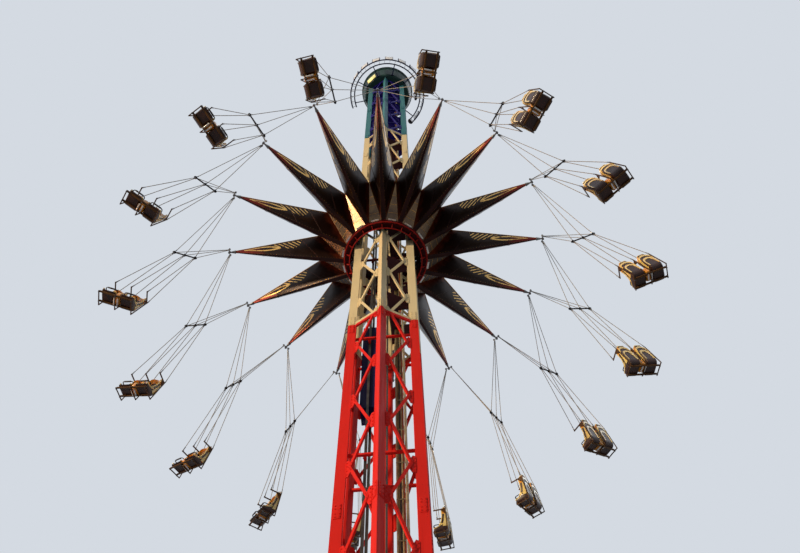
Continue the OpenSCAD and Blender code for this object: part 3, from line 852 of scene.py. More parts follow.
@dataclass
class Section:
    """Part of the ride that is dressed in finishes and rides on one body."""

    looks: dict[str, bpy.types.Material]
    body: str = Body.TOWER.value

    def dress(self, **finishes: str) -> None:
        """Gives solids of the frame their finishes, by node, in place of their plain ones.

        Args:
            finishes: name of the finish, by name of the node.
        """
        for node, name in finishes.items():
            solid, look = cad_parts[node], self.looks[name]
            if not solid.material_slots:
                solid.data.materials.append(look)
            for slot in solid.material_slots:
                slot.material = look
            log.info("%s: dressed as %s", node, look.name)

    def finish(self, made: Assembly, name: str, finishes: str, slot: str | None = None,
               nodes: str = "", crease: float = 32.0) -> bpy.types.Object:
        """Makes a piece of what was gathered and ties it to the body.

        Args:
            made: the gathered shape.
            name: name of the piece.
            finishes: names of its finishes, parted by spaces.
            slot: material slot of the record; not used.
            nodes: names of the nodes that it replaces, parted by spaces.
            crease: angle in degrees above which an edge stays sharp.

        Returns:
            The piece.
        """
        limit = math.radians(crease)
        for face in made.shape.faces:
            face.smooth = True
        for edge in made.shape.edges:
            edge.smooth = edge.calc_face_angle(math.pi) < limit
        mesh = made.pattern()
        mesh.name = name
        for look in finishes.split():
            mesh.materials.append(self.looks[look])
        piece = bpy.data.objects.new(name, mesh)
        bpy.context.scene.collection.objects.link(piece)
        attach(piece, self.body)
        if nodes:
            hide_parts(*nodes.split())
        log.info("%s: %d faces on %s", name, len(mesh.polygons), self.body)
        return piece


# Tower


@dataclass
class Tower(Section):
    """Six posts with zigzag lacing in three colours, and what runs up inside them."""

    corner_r: float = 0.660
    post_side_u: float = 0.545
    post_half_w: float = 0.076
    base_t: float = 0.060
    bay: float = 1.553
    red_bays: int = 9
    cream_bays: int = 7
    head_bay: float = 1.465
    blue_bays: int = 4
    gusset_t: float = 0.012
    brace_t: float = 0.030
    gusset_reach: float = 0.088
    sides: int = 6
    seat_gap: float = 0.0003
    ladder_x: float = 0.300
    ladder_w: float = 0.200
    rungs_per_bay: int = 8
    run_at: tuple[float, float] = (0.200, 0.230)
    rope_x: float = 0.040
    rope_ys: tuple[float, ...] = (-0.06, -0.02, 0.02, 0.06)
    floor_t: float = 0.008
    hatch_x: float = 0.24
    tie_y: float = 0.272
    tie_share: float = 0.75
    bracket_at: tuple[float, float] = (-0.220, 0.224)
    tie_count: int = 8

    def __post_init__(self) -> None:
        """Works out the levels and the size of a face."""
        self.red_top = self.red_bays * self.bay
        self.cream_top = self.red_top + self.cream_bays * self.bay
        self.blue_top = self.cream_top + self.blue_bays * self.head_bay
        self.foot, self.top = self.base_t + self.seat_gap, self.blue_top - self.seat_gap
        reach = math.hypot(self.post_side_u, self.post_half_w)
        corner = math.pi / self.sides - math.atan2(self.post_half_w, self.post_side_u)
        self.face_half = reach * math.sin(corner)
        self.face_out = reach * math.cos(corner)

    def faces(self) -> Iterable[tuple[Matrix, int]]:
        """Frame of each face, X along it, Y up and Z out, and the side that its nodes start on.

        Returns:
            The frames, each with its side.
        """
        for j in range(self.sides):
            angle = -90 + (j + 0.5) * 360 / self.sides
            yield turned(angle, self.face_out) @ ON_EDGE, (-1 if j % 2 == 0 else 1)

    def posts(self) -> Iterable[float]:
        """Angles of the posts."""
        return (-90 + j * 360 / self.sides for j in range(self.sides))

    def lacing(self, name: str, z0: float, bays: int, step: float, look: str) -> None:
        """Adds bolts and weld beads to the lacing of one section.

        Args:
            name: colour name of the section.
            z0: height of its foot.
            bays: number of bays.
            step: height of a bay.
            look: name of its enamel.
        """
        top, margin, bead_margin = bays * step, 0.08, 0.2
        bolt_inset, bolt_rows, brace_bolts = 0.018, (-0.115, -0.045, 0.045, 0.115), (0.030, 0.075)
        bolt, small = hex_bolt(Bolt.GUSSET), hex_bolt(Bolt.SMALL)
        bead = block((0.010, 0.30, 0.010), 0.003)
        end = self.face_half - self.gusset_reach * 0.7
        plates, beads = Assembly(), Assembly()
        for face, start in self.faces():
            for k in range(2 * bays + 1):
                side = start if k % 2 == 0 else -start
                level = k * step / 2
                for dz in bolt_rows:
                    if margin < level + dz < top - margin:
                        across = side * (self.face_half - bolt_inset)
                        at = (across, z0 + level + dz, self.gusset_t / 2)
                        plates.stamp(bolt, face @ moved(*at))
                for way in (-1, 1):
                    run = Vector((-side * 2 * end, way * step / 2, 0)).normalized()
                    for reach in brace_bolts:
                        spot = Vector((side * end, z0 + level, self.brace_t / 2)) + run * reach
                        if margin < spot.y - z0 < top - margin:
                            plates.stamp(small, face @ moved(*spot))
                if bead_margin < level < top - bead_margin:
                    at = (side * (self.face_half - 0.001), z0 + level, self.gusset_t / 2)
                    beads.stamp(bead, face @ moved(*at))
        self.finish(plates, f"{name}_lacing_bolts", look, f"{look}_paint")
        self.finish(beads, f"{name}_gusset_welds", look, f"{look}_paint")

    def splices(self, look: str, *levels: float) -> None:
        """Adds bolted cover plates over the posts' joints at some heights.

        Args:
            look: name of the posts' enamel.
            levels: the heights.
        """
        run = Vector((self.post_side_u - self.corner_r, self.post_half_w, 0))
        cover_t, bolt_columns, bolt_rows = 0.008, (-0.028, 0.028), (-0.10, -0.045, 0.045, 0.10)
        cover = block((0.088, 0.260, cover_t), 0.002)
        bolt = hex_bolt(Bolt.PLATE)
        across = Vector((0, 0, 1))
        made = Assembly()
        for level in levels:
            for angle in self.posts():
                for side in (-1, 1):
                    along = Vector((run.x, side * run.y, 0)).normalized()
                    out = Vector((abs(along.y), side * abs(along.x), 0))
                    middle = (Vector((self.corner_r, 0, 0)) + along * (run.length / 2)
                              + out * (cover_t / 2))
                    flat = Matrix((along, across, out)).transposed()
                    if flat.determinant() < 0:
                        flat = Matrix((-along, across, out)).transposed()
                    place = turned(angle, 0, level) @ moved(*middle) @ flat.to_4x4()
                    made.stamp(cover, place)
                    for dx in bolt_columns:
                        for dy in bolt_rows:
                            made.stamp(bolt, place @ moved(dx, dy, cover_t / 2))
        self.finish(made, f"{look}_splices", look, f"{look}_paint")

    def head_bracing(self) -> None:
        """Adds the second diagonals and the ties that cross inside the head section."""
        bar_r, depth, clear = 0.013, -0.050, 0.12
        half, step = self.face_half - 0.030, self.head_bay
        made = Assembly()
        for face, start in self.faces():
            for k in range(2 * self.blue_bays):
                side = -start if k % 2 == 0 else start
                low = self.cream_top + k * step / 2 + clear
                high = low + step / 2 - 2 * clear
                ends = [face @ Vector((side * half, low, depth)),
                        face @ Vector((-side * half, high, depth))]
                made.stamp(tube(ends, bar_r, 6))
            for k in range(1, 2 * self.blue_bays):
                level = self.cream_top + k * step / 2
                ends = [face @ Vector((x * (half + 0.010), level, depth)) for x in (-1, 1)]
                made.stamp(tube(ends, bar_r, 6))
        self.finish(made, "head_inner_bracing", "violet", "violet_paint")

    def platforms(self) -> None:
        """Adds floor plates with toe boards beside the ladder and, in the head, all round."""
        near, face, corner, edge_x, edge_y = 0.075, 0.487, 0.5455, 0.065, 0.215
        hatch_y, board_h, board_rise = 0.14, 0.050, 0.029
        slope = math.cos(math.radians(30))
        low_x = 2 * (slope * corner - face / 2)
        cut = (low_x, -(face - low_x / 2) / slope)
        edge = (face, -(corner - slope * face) * 2)
        far_x = (corner * slope - face) * 2
        hatch = [(face, -hatch_y), (self.hatch_x, -hatch_y), (self.hatch_x, hatch_y),
                 (face, hatch_y)]
        side = [cut, edge, *hatch, (edge[0], -edge[1]), (cut[0], -cut[1])]
        half = [(near, -(face - near / 2) / slope), *side, (near, (face - near / 2) / slope)]
        whole = [(-face, -edge_y), (-face, edge[1]), (-cut[0], cut[1]), (far_x, -corner),
                 (-far_x, -corner), *side, (-far_x, corner), (far_x, corner),
                 (-cut[0], -cut[1]), (-face, -edge[1]), (-face, edge_y), (edge_x, edge_y),
                 (edge_x, -edge_y)]
        board = block((0.006, 2 * hatch_y, board_h), 0.002)
        for name, outline, foot, share, bays, step, look, slot in (
                ("rest_platforms", half, self.red_top, 0.5, self.cream_bays, self.bay, "deck",
                 "rail_steel"),
                ("head_platforms", whole, self.cream_top, 0.25, self.blue_bays, self.head_bay,
                 "violet", "violet_paint")):
            floor = plate(outline, self.floor_t, 0.002)
            made = Assembly()
            for k in range(bays):
                level = foot + (k + share) * step
                made.stamp(floor, moved(z=level))
                made.stamp(board, moved(self.hatch_x, 0, level + board_rise))
            self.finish(made, name, look, slot)

    def cross_ties(self) -> None:
        """Adds the square ties across the tower that hold the guide rails, every second bay."""
        tie = block((0.946, 0.040, 0.040), 0.004)
        bracket = block((0.036, 0.060, 0.060), 0.003)
        x, y = self.bracket_at
        bolt = hex_bolt(Bolt.PLATE)
        made = Assembly()
        for k in range(self.tie_count):
            level = (2 * k + self.tie_share) * self.bay
            paint = 0 if level < self.red_top else 1
            for side in (-1, 1):
                made.stamp(tie, moved(0, side * self.tie_y, level), paint)
                at = moved(x, side * y, level)
                made.stamp(bracket, at, paint)
                for dz in (-0.018, 0.018):
                    made.stamp(bolt, at @ moved(-0.018, side * 0.006, dz) @ rolled(-90, "Y"), paint)
        self.finish(made, "cross_ties", "red maroon", "red_paint")

    def base_ribs(self) -> None:
        """Adds stiffener ribs between each post and the base plate."""
        rib = plate([(0.0, 0.0), (0.150, 0.0), (0.150, 0.030), (0.020, 0.340), (0.0, 0.340)],
                    0.016, 0.003)
        made = Assembly()
        for angle in self.posts():
            made.stamp(rib, turned(angle, self.corner_r - 0.004, self.base_t) @ rolled(90, "X"))
        self.finish(made, "base_ribs", "base", "base_paint")

    def ladder(self) -> None:
        """Replaces the ladder by round stiles, rungs and a fall-arrest rail."""
        foot, top, x = self.foot, self.top, self.ladder_x
        stile = rod(0.012, top - foot, 12)
        rung = rod(0.007, self.ladder_w, 8)
        rail = block((0.016, 0.022, top - foot), 0.003)
        clip = block((0.030, 0.034, 0.026), 0.004)
        step = self.bay / self.rungs_per_bay
        made = Assembly()
        for side in (-1, 1):
            made.stamp(stile, moved(x, side * self.ladder_w / 2, foot))
        for k in range(1, int((top - step / 2 - foot) / step) + 1):
            made.stamp(rung, moved(x, -self.ladder_w / 2, foot + k * step) @ rolled(-90, "X"))
            if k % self.rungs_per_bay == self.rungs_per_bay // 2:
                made.stamp(clip, moved(x, 0, foot + k * step))
        made.stamp(rail, moved(x - 0.012, 0, (foot + top) / 2))
        self.finish(made, "ladder_round", "zinc", "ladder_zinc", "ladder")

    def cables(self) -> None:
        """Replaces the cable run by round sheaths of several colours, clamped to a tray."""
        x, y = self.run_at
        length, middle, pitch = self.top - self.foot, (self.foot + self.top) / 2, 0.0235
        conduit = rod(0.0110, length, 12)
        clamp = block((0.118, 0.014, 0.022), 0.003)
        made = Assembly()
        for k, look in zip((-2, -1, 0, 1, 2), (2, 0, 3, 2, 4)):
            made.stamp(conduit, moved(x + k * pitch, y, self.foot), look)
        made.stamp(block((0.120, 0.004, length), 0.001), moved(x, y + 0.014, middle), 1)
        for side in (-1, 1):
            edge = block((0.004, 0.014, length), 0.001)
            made.stamp(edge, moved(x + side * 0.058, y + 0.009, middle), 1)
        level = self.foot + self.bay / 2
        while level < self.top:
            made.stamp(clamp, moved(x, y - 0.009, level), 1)
            level += self.bay / 2
        self.finish(made, "cable_run_round", "conduit zinc pale_sheath dark_sheath rust_sheath",
                    "cable_brown", "cable_run")

    def ropes(self) -> None:
        """Replaces the hoist ropes by round laid ropes."""
        made = Assembly()
        for y in self.rope_ys:
            made.stamp(tube([(self.rope_x, y, self.foot + (self.top - self.foot) * k / 12)
                             for k in range(13)], 0.008))
        self.finish(made, "hoist_ropes_laid", "rope", "rope_steel", "hoist_ropes")

    def build(self) -> None:
        """Dresses the whole tower."""
        self.dress(base_plate="base", red_posts="red", red_lacing="red", cream_posts="cream",
                   cream_lacing="cream", blue_posts="teal", blue_lacing="violet")
        red, cream, third, lap = self.red_top, self.cream_top, 3 * self.bay, 0.14
        self.lacing("red", 0.0, self.red_bays, self.bay, "red")
        self.lacing("cream", red, self.cream_bays, self.bay, "cream")
        self.lacing("blue", cream, self.blue_bays, self.head_bay, "violet")
        self.splices("red", third, 2 * third, red - lap)
        self.splices("cream", red + lap, red + third, red + 2 * third)
        self.splices("teal", cream + lap, cream + 2 * self.head_bay)
        self.head_bracing()
        self.platforms()
        self.cross_ties()
        self.base_ribs()
        self.ladder()
        self.cables()
        self.ropes()
        self.dress(guide_rails="rail", counterweight="navy")


# Head


@dataclass
class Head(Section):
    """Round cap with its domed roof, and the open sign hoops with blank plates."""

    foot_z: float = 30.708
    cap_r: float = 0.820
    under_h: float = 0.520
    rim_h: float = 0.120
    dome_h: float = 0.420
    dome_steps: int = 14
    round_steps: int = 96
    seams: int = 24
    hoop_r: float = 1.205
    hoop_gap: float = 0.125
    hoop_d: float = 0.040
    hoop_rise: float = 0.060
    start: float = 166.0
    sweep: float = 245.0
    ties: int = 28
    arms: int = 6
    # Angle of the glowing panel that paints the low light's highlight on the cap
    lit_at: float = -128.0
    plates: int = 12
    plate_size: tuple[float, float, float] = (0.040, 0.250, 0.380)
    seat_gap: float = 0.0003

    def cap(self) -> None:
        """Replaces the cap by a turned shell with a rolled rim, seams and a glowing panel that is a
        painted highlight.
        """
        spokes = [turned(360 // self.seams * k) for k in range(self.seams)]
        under = Assembly()
        under.stamp(lathe([(0.02, 0.004), (0.670, 0.002), (0.690, 0.012), (0.721, 0.058),
                           (0.735, 0.120), (0.812, 0.480), (0.820, 0.520), (0.820, 0.636),
                           (0.02, 0.637)], self.round_steps))
        sealed(under.shape, 1e-4)
        under.stamp(tube([(0.738, 0, 0.128), (0.775, 0, 0.300), (0.814, 0, 0.480),
                          (0.825, 0, 0.530), (0.825, 0, 0.625)], 0.006, 6), spokes)
        under.stamp(lathe([(0.820, 0.500), (0.832, 0.506), (0.836, 0.520), (0.832, 0.534),
                           (0.820, 0.540)], self.round_steps))
        under.lift(self.foot_z)
        self.finish(under, "cap_underside_shell", "cap", "cap_green", "cap_underside")
        quarter = [math.pi / 2 * k / self.dome_steps for k in range(self.dome_steps + 1)]
        dome = [(self.cap_r * math.cos(a), 0.040 + self.dome_h * math.sin(a)) for a in quarter]
        roof = Assembly()
        roof.stamp(lathe([(0.02, 0.001), (0.838, 0.001), (0.845, 0.008), (0.845, 0.032),
                          (0.838, 0.040), (0.822, 0.040)] + dome[1:-1] + [(0.001, 0.4599)],
                         self.round_steps))
        sealed(roof.shape, 1e-4)
        roof.stamp(tube([(r + 0.003, 0, z + 0.003) for r, z in dome[:-1]], 0.007, 6), spokes)
        roof.lift(self.foot_z + (self.under_h + self.rim_h + self.seat_gap))
        self.finish(roof, "cap_roof_shell", "cap", "cap_green", "cap_roof")
        # Glowing pale yellow panel under the cap: a painted highlight of the low light, not a lamp
        lamp = Assembly()
        cone = seat_on((0.757, 0, 0.215), (0.978, 0, -0.208))
        lamp.stamp(block((0.34, 0.230, 0.012), 0.004), turned(self.lit_at, 0, self.foot_z) @ cone)
        self.finish(lamp, "cap_lit_panel", "lamp_panel", "sign_white")

    def hoops(self, level: float) -> None:
        """Replaces the open hoops, with ties between them and arms to the cap.

        Args:
            level: height of the hoops.
        """
        inner = self.hoop_r - self.hoop_gap
        cap_side, tie_inset, arm_inset = 0.722, 2, 8
        made = Assembly()
        for radius in (self.hoop_r, inner):
            turns = [math.radians(self.start + self.sweep * k / self.round_steps)
                     for k in range(self.round_steps + 1)]
            hoop = tube([(radius * math.cos(a), radius * math.sin(a), 0.0) for a in turns],
                        self.hoop_d / 2, 16)
            made.stamp(hoop, moved(z=level))
        lying = rolled(90, "Y")
        tie = block((0.030, 0.012, self.hoop_gap), 0.003, (0, 0, self.hoop_gap / 2))
        for k in range(self.ties + 1):
            angle = self.start + tie_inset + (self.sweep - 2 * tie_inset) * k / self.ties
            made.stamp(tie, turned(angle, inner, level) @ lying, 1)
        arm = rod(0.016, inner - cap_side, 12)
        foot = block((0.014, 0.090, 0.090), 0.004)
        for k in range(self.arms + 1):
            angle = self.start + arm_inset + (self.sweep - 2 * arm_inset) * k / self.arms
            made.stamp(arm, turned(angle, cap_side, level) @ lying)
            made.stamp(foot, turned(angle, cap_side + 0.008, level))
        self.finish(made, "sign_hoops_round", "navy bright", "hoop_navy", "sign_hoops")

    def blanks(self, level: float) -> None:
        """Replaces the plates that stand on the outer hoop by framed blank ones.

        Args:
            level: height of the hoops.
        """
        depth, width, height = self.plate_size
        base = level + self.hoop_d / 2 + self.seat_gap
        face = block((depth, width, height), 0.008)
        edge = block((depth + 0.006, 0.012, height + 0.004), 0.003)
        post = rod(0.007, 0.030, 8)
        made = Assembly()
        for k in range(self.plates):
            angle = self.start + self.sweep * (k + 0.5) / self.plates
            at = turned(angle, self.hoop_r, base + height / 2)
            low = turned(angle, self.hoop_r, base - 0.012)
            made.stamp(face, at)
            for side in (-1, 1):
                made.stamp(edge, at @ moved(0, side * width / 2, 0), 1)
                made.stamp(post, low @ moved(0, side * width * 0.3, 0), 1)
        self.finish(made, "sign_plates_blank", "acrylic navy", "sign_white", "sign_plates")

    def lamp(self, level: float) -> None:
        """Replaces the round lamp at the hoops' end.

        Args:
            level: height of the hoops.
        """
        back = seat_on((self.hoop_r - self.hoop_gap / 2, self.seat_gap, 0), (0, 1, 0))
        at = turned(self.start + self.sweep, 0, level) @ back
        made = Assembly()
        made.stamp(lathe([(0.001, 0.0), (0.088, 0.0), (0.092, 0.006), (0.092, 0.054),
                          (0.086, 0.066), (0.062, 0.094), (0.052, 0.100), (0.001, 0.100)], 40), at)
        made.stamp(lathe([(0.001, 0.002), (0.078, 0.002), (0.078, -0.004), (0.060, -0.008),
                          (0.001, -0.010)], 40), at, 1)
        self.finish(made, "oval_lamp_body", "black lamp_face", "lamp_black", "oval_lamp")

    def build(self) -> None:
        """Builds the head."""
        self.cap()
        level = self.foot_z + self.hoop_rise
        self.hoops(level)
        self.blanks(level)
        self.lamp(level)


# Carriage and star


@dataclass
class Carriage(Section):
    """Sliding ring that carries the star, with its guide rollers."""

    body: str = Body.CARRIAGE.value
    tip_z: float = 18.013
    flange_z: float = -0.7585
    ring_in: float = 0.705
    roller_w: float = 0.060
    roller_at: tuple[float, float] = (0.62748, 0.07579)
    along: tuple[float, float] = (-0.8343, 0.5514)
    levels: tuple[float, float] = (-0.648, -0.210)
    guard_z: float = -0.112
    guard_r: float = 0.7035
    bolt_r: float = 0.798
    bolts: int = 48
    ribs: int = 24
    round_steps: int = 96

    def stiffeners(self) -> None:
        """Adds flange bolts, ribs, a lining, two round rims and guard plates between the posts."""
        made = Assembly()
        under, rib_h = self.tip_z + self.flange_z, 0.075
        bolt = hex_bolt(Bolt.FLANGE)
        for k in range(self.bolts):
            at = turned(360 * (k + 0.5) / self.bolts, self.bolt_r, under)
            made.stamp(bolt, at @ rolled(180, "X"), 1)
        rib = plate([(0.0, 0.0), (0.0, -rib_h), (0.030, -rib_h), (0.072, -0.018), (0.072, 0.0)],
                    0.009, 0.002)
        for k in range(self.ribs):
            at = turned(360 * k / self.ribs, self.ring_in + 0.002, under)
            made.stamp(rib, at @ rolled(90, "X"), 2)
        lining = lathe([(self.ring_in, -rib_h), (0.711, -rib_h), (0.711, 0.0),
                        (self.ring_in, 0.0)], self.round_steps, True)
        made.stamp(lining, moved(z=under))
        turns = [math.tau * k / self.round_steps for k in range(self.round_steps + 1)]
        outer_rim, inner_rim = (0.811, -0.004), (0.709, -rib_h)
        for radius, drop in (outer_rim, inner_rim):
            rim = [(radius * math.cos(a), radius * math.sin(a), under + drop) for a in turns]
            made.stamp(tube(rim, 0.010, 8), Matrix(), 2)
        side = [(0.2374, 0.550), (0.3357, 0.600), (0.3357, 0.6182)]
        bow = [(self.guard_r * math.sin(math.radians(a)), self.guard_r * math.cos(math.radians(a)))
               for a in range(24, -25, -6)]
        guard = plate(side + bow + [(-x, y) for x, y in reversed(side)], 0.008, 0.002)
        for j in range(6):
            made.stamp(guard, turned(60 * j - 90, 0, self.tip_z + self.guard_z), 3)
        self.finish(made, "carriage_stiffeners", "maroon hub ring deck", "carriage_red")

    def rollers(self) -> None:
        """Replaces the guide rollers by tyred wheels on steel hubs."""
        half = self.roller_w / 2
        outer = [(0.030, half), (0.038, half), (0.0435, half - 0.004), (0.045, half - 0.010)]
        inner = [(0.001, half - 0.004), (0.014, half - 0.002), (0.018, half - 0.010),
                 (0.028, half - 0.008), (0.0305, half - 0.001)]
        tyre, hub = (lathe(line + [(r, -z) for r, z in reversed(line)], steps, closed)
                     for line, steps, closed in ((outer, 32, True), (inner, 24, False)))
        axle = rod(0.009, 0.118, 12, 0.001)
        x, y = self.roller_at
        made = Assembly()
        for j in range(6):
            for side in (-1, 1):
                for level in self.levels:
                    along = (-self.along[0], -side * self.along[1], 0)
                    at = turned(-90 + 60 * j, 0, self.tip_z + level)
                    place = at @ seat_on((x, side * y, 0), along)
                    made.stamp(tyre, place)
                    made.stamp(hub, place, 1)
                    made.stamp(axle, place @ moved(z=-0.036), 1)
        self.finish(made, "guide_roller_wheels", "tyre machined", "roller_black", "guide_rollers")

    def build(self) -> None:
        """Dresses the carriage."""
        # The frame's near-black brown-red is partly painted shade of the ring over it
        self.dress(carriage_frame="maroon")
        self.stiffeners()
        self.rollers()


@dataclass
class Star(Section):
    """Sixteen deep-keeled arms with valley panels round a lattice hub ring."""

    body: str = Body.STAR.value
    tip_z: float = 18.013
    turn: float = 2.73
    arms: int = 16
    arm_end: float = 3.110
    tip_half_w: float = 0.014
    tip_depth: float = 0.022
    tip_rise: float = 0.004
    keel_half_w: float = 0.003
    valley_r: float = 1.363
    valley_rise: float = 0.026
    foot_angle: float = 2.85
    hub_r: float = 0.8303
    foot_z: float = -0.704
    hub_top: float = 0.060
    ridge_rise: float = 0.240
    crown: float = 0.020
    plate_r: float = 0.7655
    plate_levels: tuple[float, float] = (-0.620, -0.040)
    rows: int = 14
    columns: int = 8

    def __post_init__(self) -> None:
        """Places the corners of one arm in its own frame, X out to the tip."""
        half = math.radians(180 / self.arms - 0.02)
        foot = math.radians(self.foot_angle)
        self.valley = Vector((self.valley_r * math.cos(half), self.valley_r * math.sin(half),
                              self.valley_rise))
        self.foot = Vector((self.hub_r, self.hub_r * math.tan(foot), self.foot_z))
        self.root = Vector((self.hub_r, self.hub_r * math.tan(half), self.hub_top))
        self.ridge = Vector((self.hub_r, 0, self.ridge_rise))
        self.tip = Vector((self.arm_end, self.tip_half_w, 0))
        self.tip_keel = Vector((self.arm_end, self.keel_half_w, -self.tip_depth))
        self.tip_top = Vector((self.arm_end, 0, self.tip_rise))
        self.angles = [-90 + self.turn + k * 360 / self.arms for k in range(self.arms)]
        self.rivet = rod(0.0050, 0.0030, 8, 0.0, 0.0030)

    def keel_face(self, across: float, along: float) -> Vector:
        """Place on a keel face, from the keel to the upper edge and from the tip to the hub.

        Args:
            across: share across it.
            along: share along it.

        Returns:
            The place.
        """
        low = self.tip_keel.lerp(self.foot, along)
        high = self.tip.lerp(self.valley, along)
        out = (self.valley - self.tip).cross(self.foot - self.tip_keel).normalized()
        if out.z > 0:
            out = -out
        swell = self.crown * math.sin(math.pi * along) ** 0.7 * 4 * across * (1 - across)
        return low.lerp(high, across) + out * swell

    def upper_edge(self, along: float) -> Vector:
        """Place on the arm's upper edge, from the tip to the valley and then to the hub.

        Args:
            along: share along it.

        Returns:
            The place.
        """
        part = along * (self.rows + self.columns)
        if part <= self.rows:
            return self.tip.lerp(self.valley, part / self.rows)
        return self.valley.lerp(self.root, (part - self.rows) / self.columns)

    def roof(self, across: float, along: float) -> Vector:
        """Place on one side of the arm's roof."""
        return self.upper_edge(along).lerp(self.tip_top.lerp(self.ridge, along), across)

    def flank(self, across: float, along: float) -> Vector:
        """Place on the arm's closing face beside the hub ring."""
        return self.valley.lerp(self.root.lerp(self.foot, across), along)

    def strip(self, across: float, along: float) -> Vector:
        """Place on the narrow keel strip."""
        edge = self.tip_keel.lerp(self.foot, along)
        return Vector((edge.x, edge.y * (2 * across - 1), edge.z))

    def chart(self, across: float, along: float) -> tuple[float, float]:
        """Metres from the tip and share across the face."""
        return along * (self.arm_end - self.hub_r), across

    def arm(self) -> bpy.types.Mesh:
        """One closed arm skin with its finishes in its faces.

        Returns:
            The pattern.
        """
        made = Assembly()
        keel = bent_sheet(self.columns, self.rows, self.keel_face, self.chart)
        top = bent_sheet(4, self.rows + self.columns, self.roof, self.chart)
        side = bent_sheet(self.columns, self.columns, self.flank, self.chart)
        for mirror in (Matrix(), MIRRORED):
            made.stamp(keel, mirror, 0)
            made.stamp(top, mirror, 2)
            made.stamp(side, mirror, 2)
        made.stamp(bent_sheet(1, self.rows, self.strip, self.chart), Matrix(), 1)
        sealed(made.shape, 2e-4)
        return made.pattern()

    def trims(self) -> bpy.types.Mesh:
        """Edge mouldings, cover strips and rivets of one arm.

        Returns:
            The pattern.
        """
        made = Assembly()
        steps, rivets = 12, 40
        upper = tube([self.tip.lerp(self.valley, k / steps) for k in range(steps + 1)], 0.0065, 8)
        keel = tube([self.tip_keel.lerp(self.foot, k / steps) for k in range(steps + 1)], 0.0050, 8)
        for mirror in (Matrix(), MIRRORED):
            made.stamp(upper, mirror, 0)
            made.stamp(keel, mirror, 1)
            for along in (0.30, 0.55, 0.78):
                path = [self.keel_face(0.03 + 0.94 * k / 8, along) for k in range(9)]
                made.stamp(tube(path, 0.0045, 6), mirror, 1)
            for across in (0.045, 0.955):
                for k in range(4, rivets):
                    along = k / rivets
                    point = self.keel_face(across, along)
                    ahead = self.keel_face(across, along + 0.01) - point
                    aside = self.keel_face(across + 0.02, along) - point
                    out = aside.cross(ahead)
                    if out.z > 0:
                        out = -out
                    made.stamp(self.rivet, mirror @ seat_on(point, out), 0)
        return made.pattern()

    def panel(self) -> tuple[bpy.types.Mesh, bpy.types.Mesh]:
        """One valley panel, in the frame half-way between two arms.

        Returns:
            The panel's sheet, and its cover strips with rivets.
        """
        half = math.radians(180 / self.arms - self.foot_angle - 0.05)
        inner = self.hub_r / math.cos(math.radians(self.foot_angle))
        apex = Vector((self.valley_r - 0.006, 0, self.valley_rise - 0.004))
        ends = [Vector((inner * math.cos(a), inner * math.sin(a), self.foot_z))
                for a in (-half, half)]
        back = Vector((self.hub_r / math.cos(math.radians(180 / self.arms)) + 0.002, 0,
                       self.hub_top - 0.012))

        def face(far: Vector, across: float, along: float) -> Vector:
            """Place on a face between the apex, one foot and a far corner."""
            return apex.lerp(ends[0].lerp(far, across), along)

        front, rear = partial(face, ends[1]), bent_sheet(4, 12, partial(face, back))
        sheet = Assembly()
        sheet.stamp(bent_sheet(8, 12, front))
        sheet.stamp(rear)
        sheet.stamp(rear, MIRRORED)
        sealed(sheet.shape, 1e-4)
        strips = Assembly()
        for along in (0.36, 0.58, 0.80):
            strips.stamp(tube([front(0.02 + 0.96 * k / 6, along) for k in range(7)], 0.004, 6))
        out = (ends[1] - apex).cross(ends[0] - apex)
        out = out if out.z < 0 else -out
        for across in (0.06, 0.94):
            for k in range(5, 24):
                strips.stamp(self.rivet, seat_on(front(across, k / 24), out))
        return sheet.pattern(), strips.pattern()

    def hub(self) -> None:
        """Adds corner plates, bolts and bright base bars to the hub ring."""
        self.dress(hub_ring="hub")
        made = Assembly()
        bolt = hex_bolt(Bolt.HUB)
        corner = plate([(-0.062, -0.055), (0.062, -0.055), (0.040, 0.055), (-0.040, 0.055)], 0.008,
                       0.002)
        bar = block((0.150, 0.040, 0.014), 0.003)
        for angle in self.angles:
            for level, flip in zip(self.plate_levels, (1, -1)):
                at = turned(angle, self.plate_r, self.tip_z + level)
                flat = Matrix(((0, 0, -flip, 0), (1, 0, 0, 0), (0, flip, 0, 0), (0, 0, 0, 1)))
                out = Matrix.Diagonal((1.0, 1.0, flip, 1.0))
                made.stamp(corner, at @ flat)
                for dx, dy in ((-0.040, -0.03), (0.040, -0.03), (-0.028, 0.03), (0.028, 0.03)):
                    made.stamp(bolt, at @ flat @ moved(dx, dy, 0.004 * flip) @ out)
            at = turned(angle + 180 / self.arms, self.hub_r + 0.010, self.tip_z - 0.716)
            made.stamp(bar, at @ rolled(90, "Z"), 1)
        self.finish(made, "hub_ring_plates", "hub bright", "hub_red")

    def build(self) -> None:
        """Builds the star."""
        self.hub()
        places = [turned(angle, 0, self.tip_z) for angle in self.angles]
        between = [turned(angle + 180 / self.arms, 0, self.tip_z) for angle in self.angles]
        sleeve = lathe([(0.001, -0.030), (0.034, -0.030), (0.036, -0.024), (0.020, 0.048),
                        (0.001, 0.050)], 20)
        outward = seat_on((self.arm_end - 0.016, 0, -0.006), (1, 0, 0))
        sheet, strips = self.panel()
        for pattern, at, name, finishes, slot, nodes, crease in (
                (self.arm(), places, "arm_skins", "arm keel roof", "arm_skin", "arm_shells", 25),
                (self.trims(), places, "arm_trims", "trim keel", "panel_gold", "", 32),
                (sheet, between, "valley_panel_sheets", "panel", "panel_gold", "valley_panels", 32),
                (strips, between, "valley_panel_seams", "trim", "panel_gold", "", 32),
                (sleeve, [place @ outward for place in places], "arm_end_sleeves", "machined",
                 "fitting_steel", "", 32)):
            made = Assembly()
            made.stamp(pattern, at, None)
            self.finish(made, name, finishes, slot, nodes, crease)
        self.dress(tip_fittings="machined")


# Swings


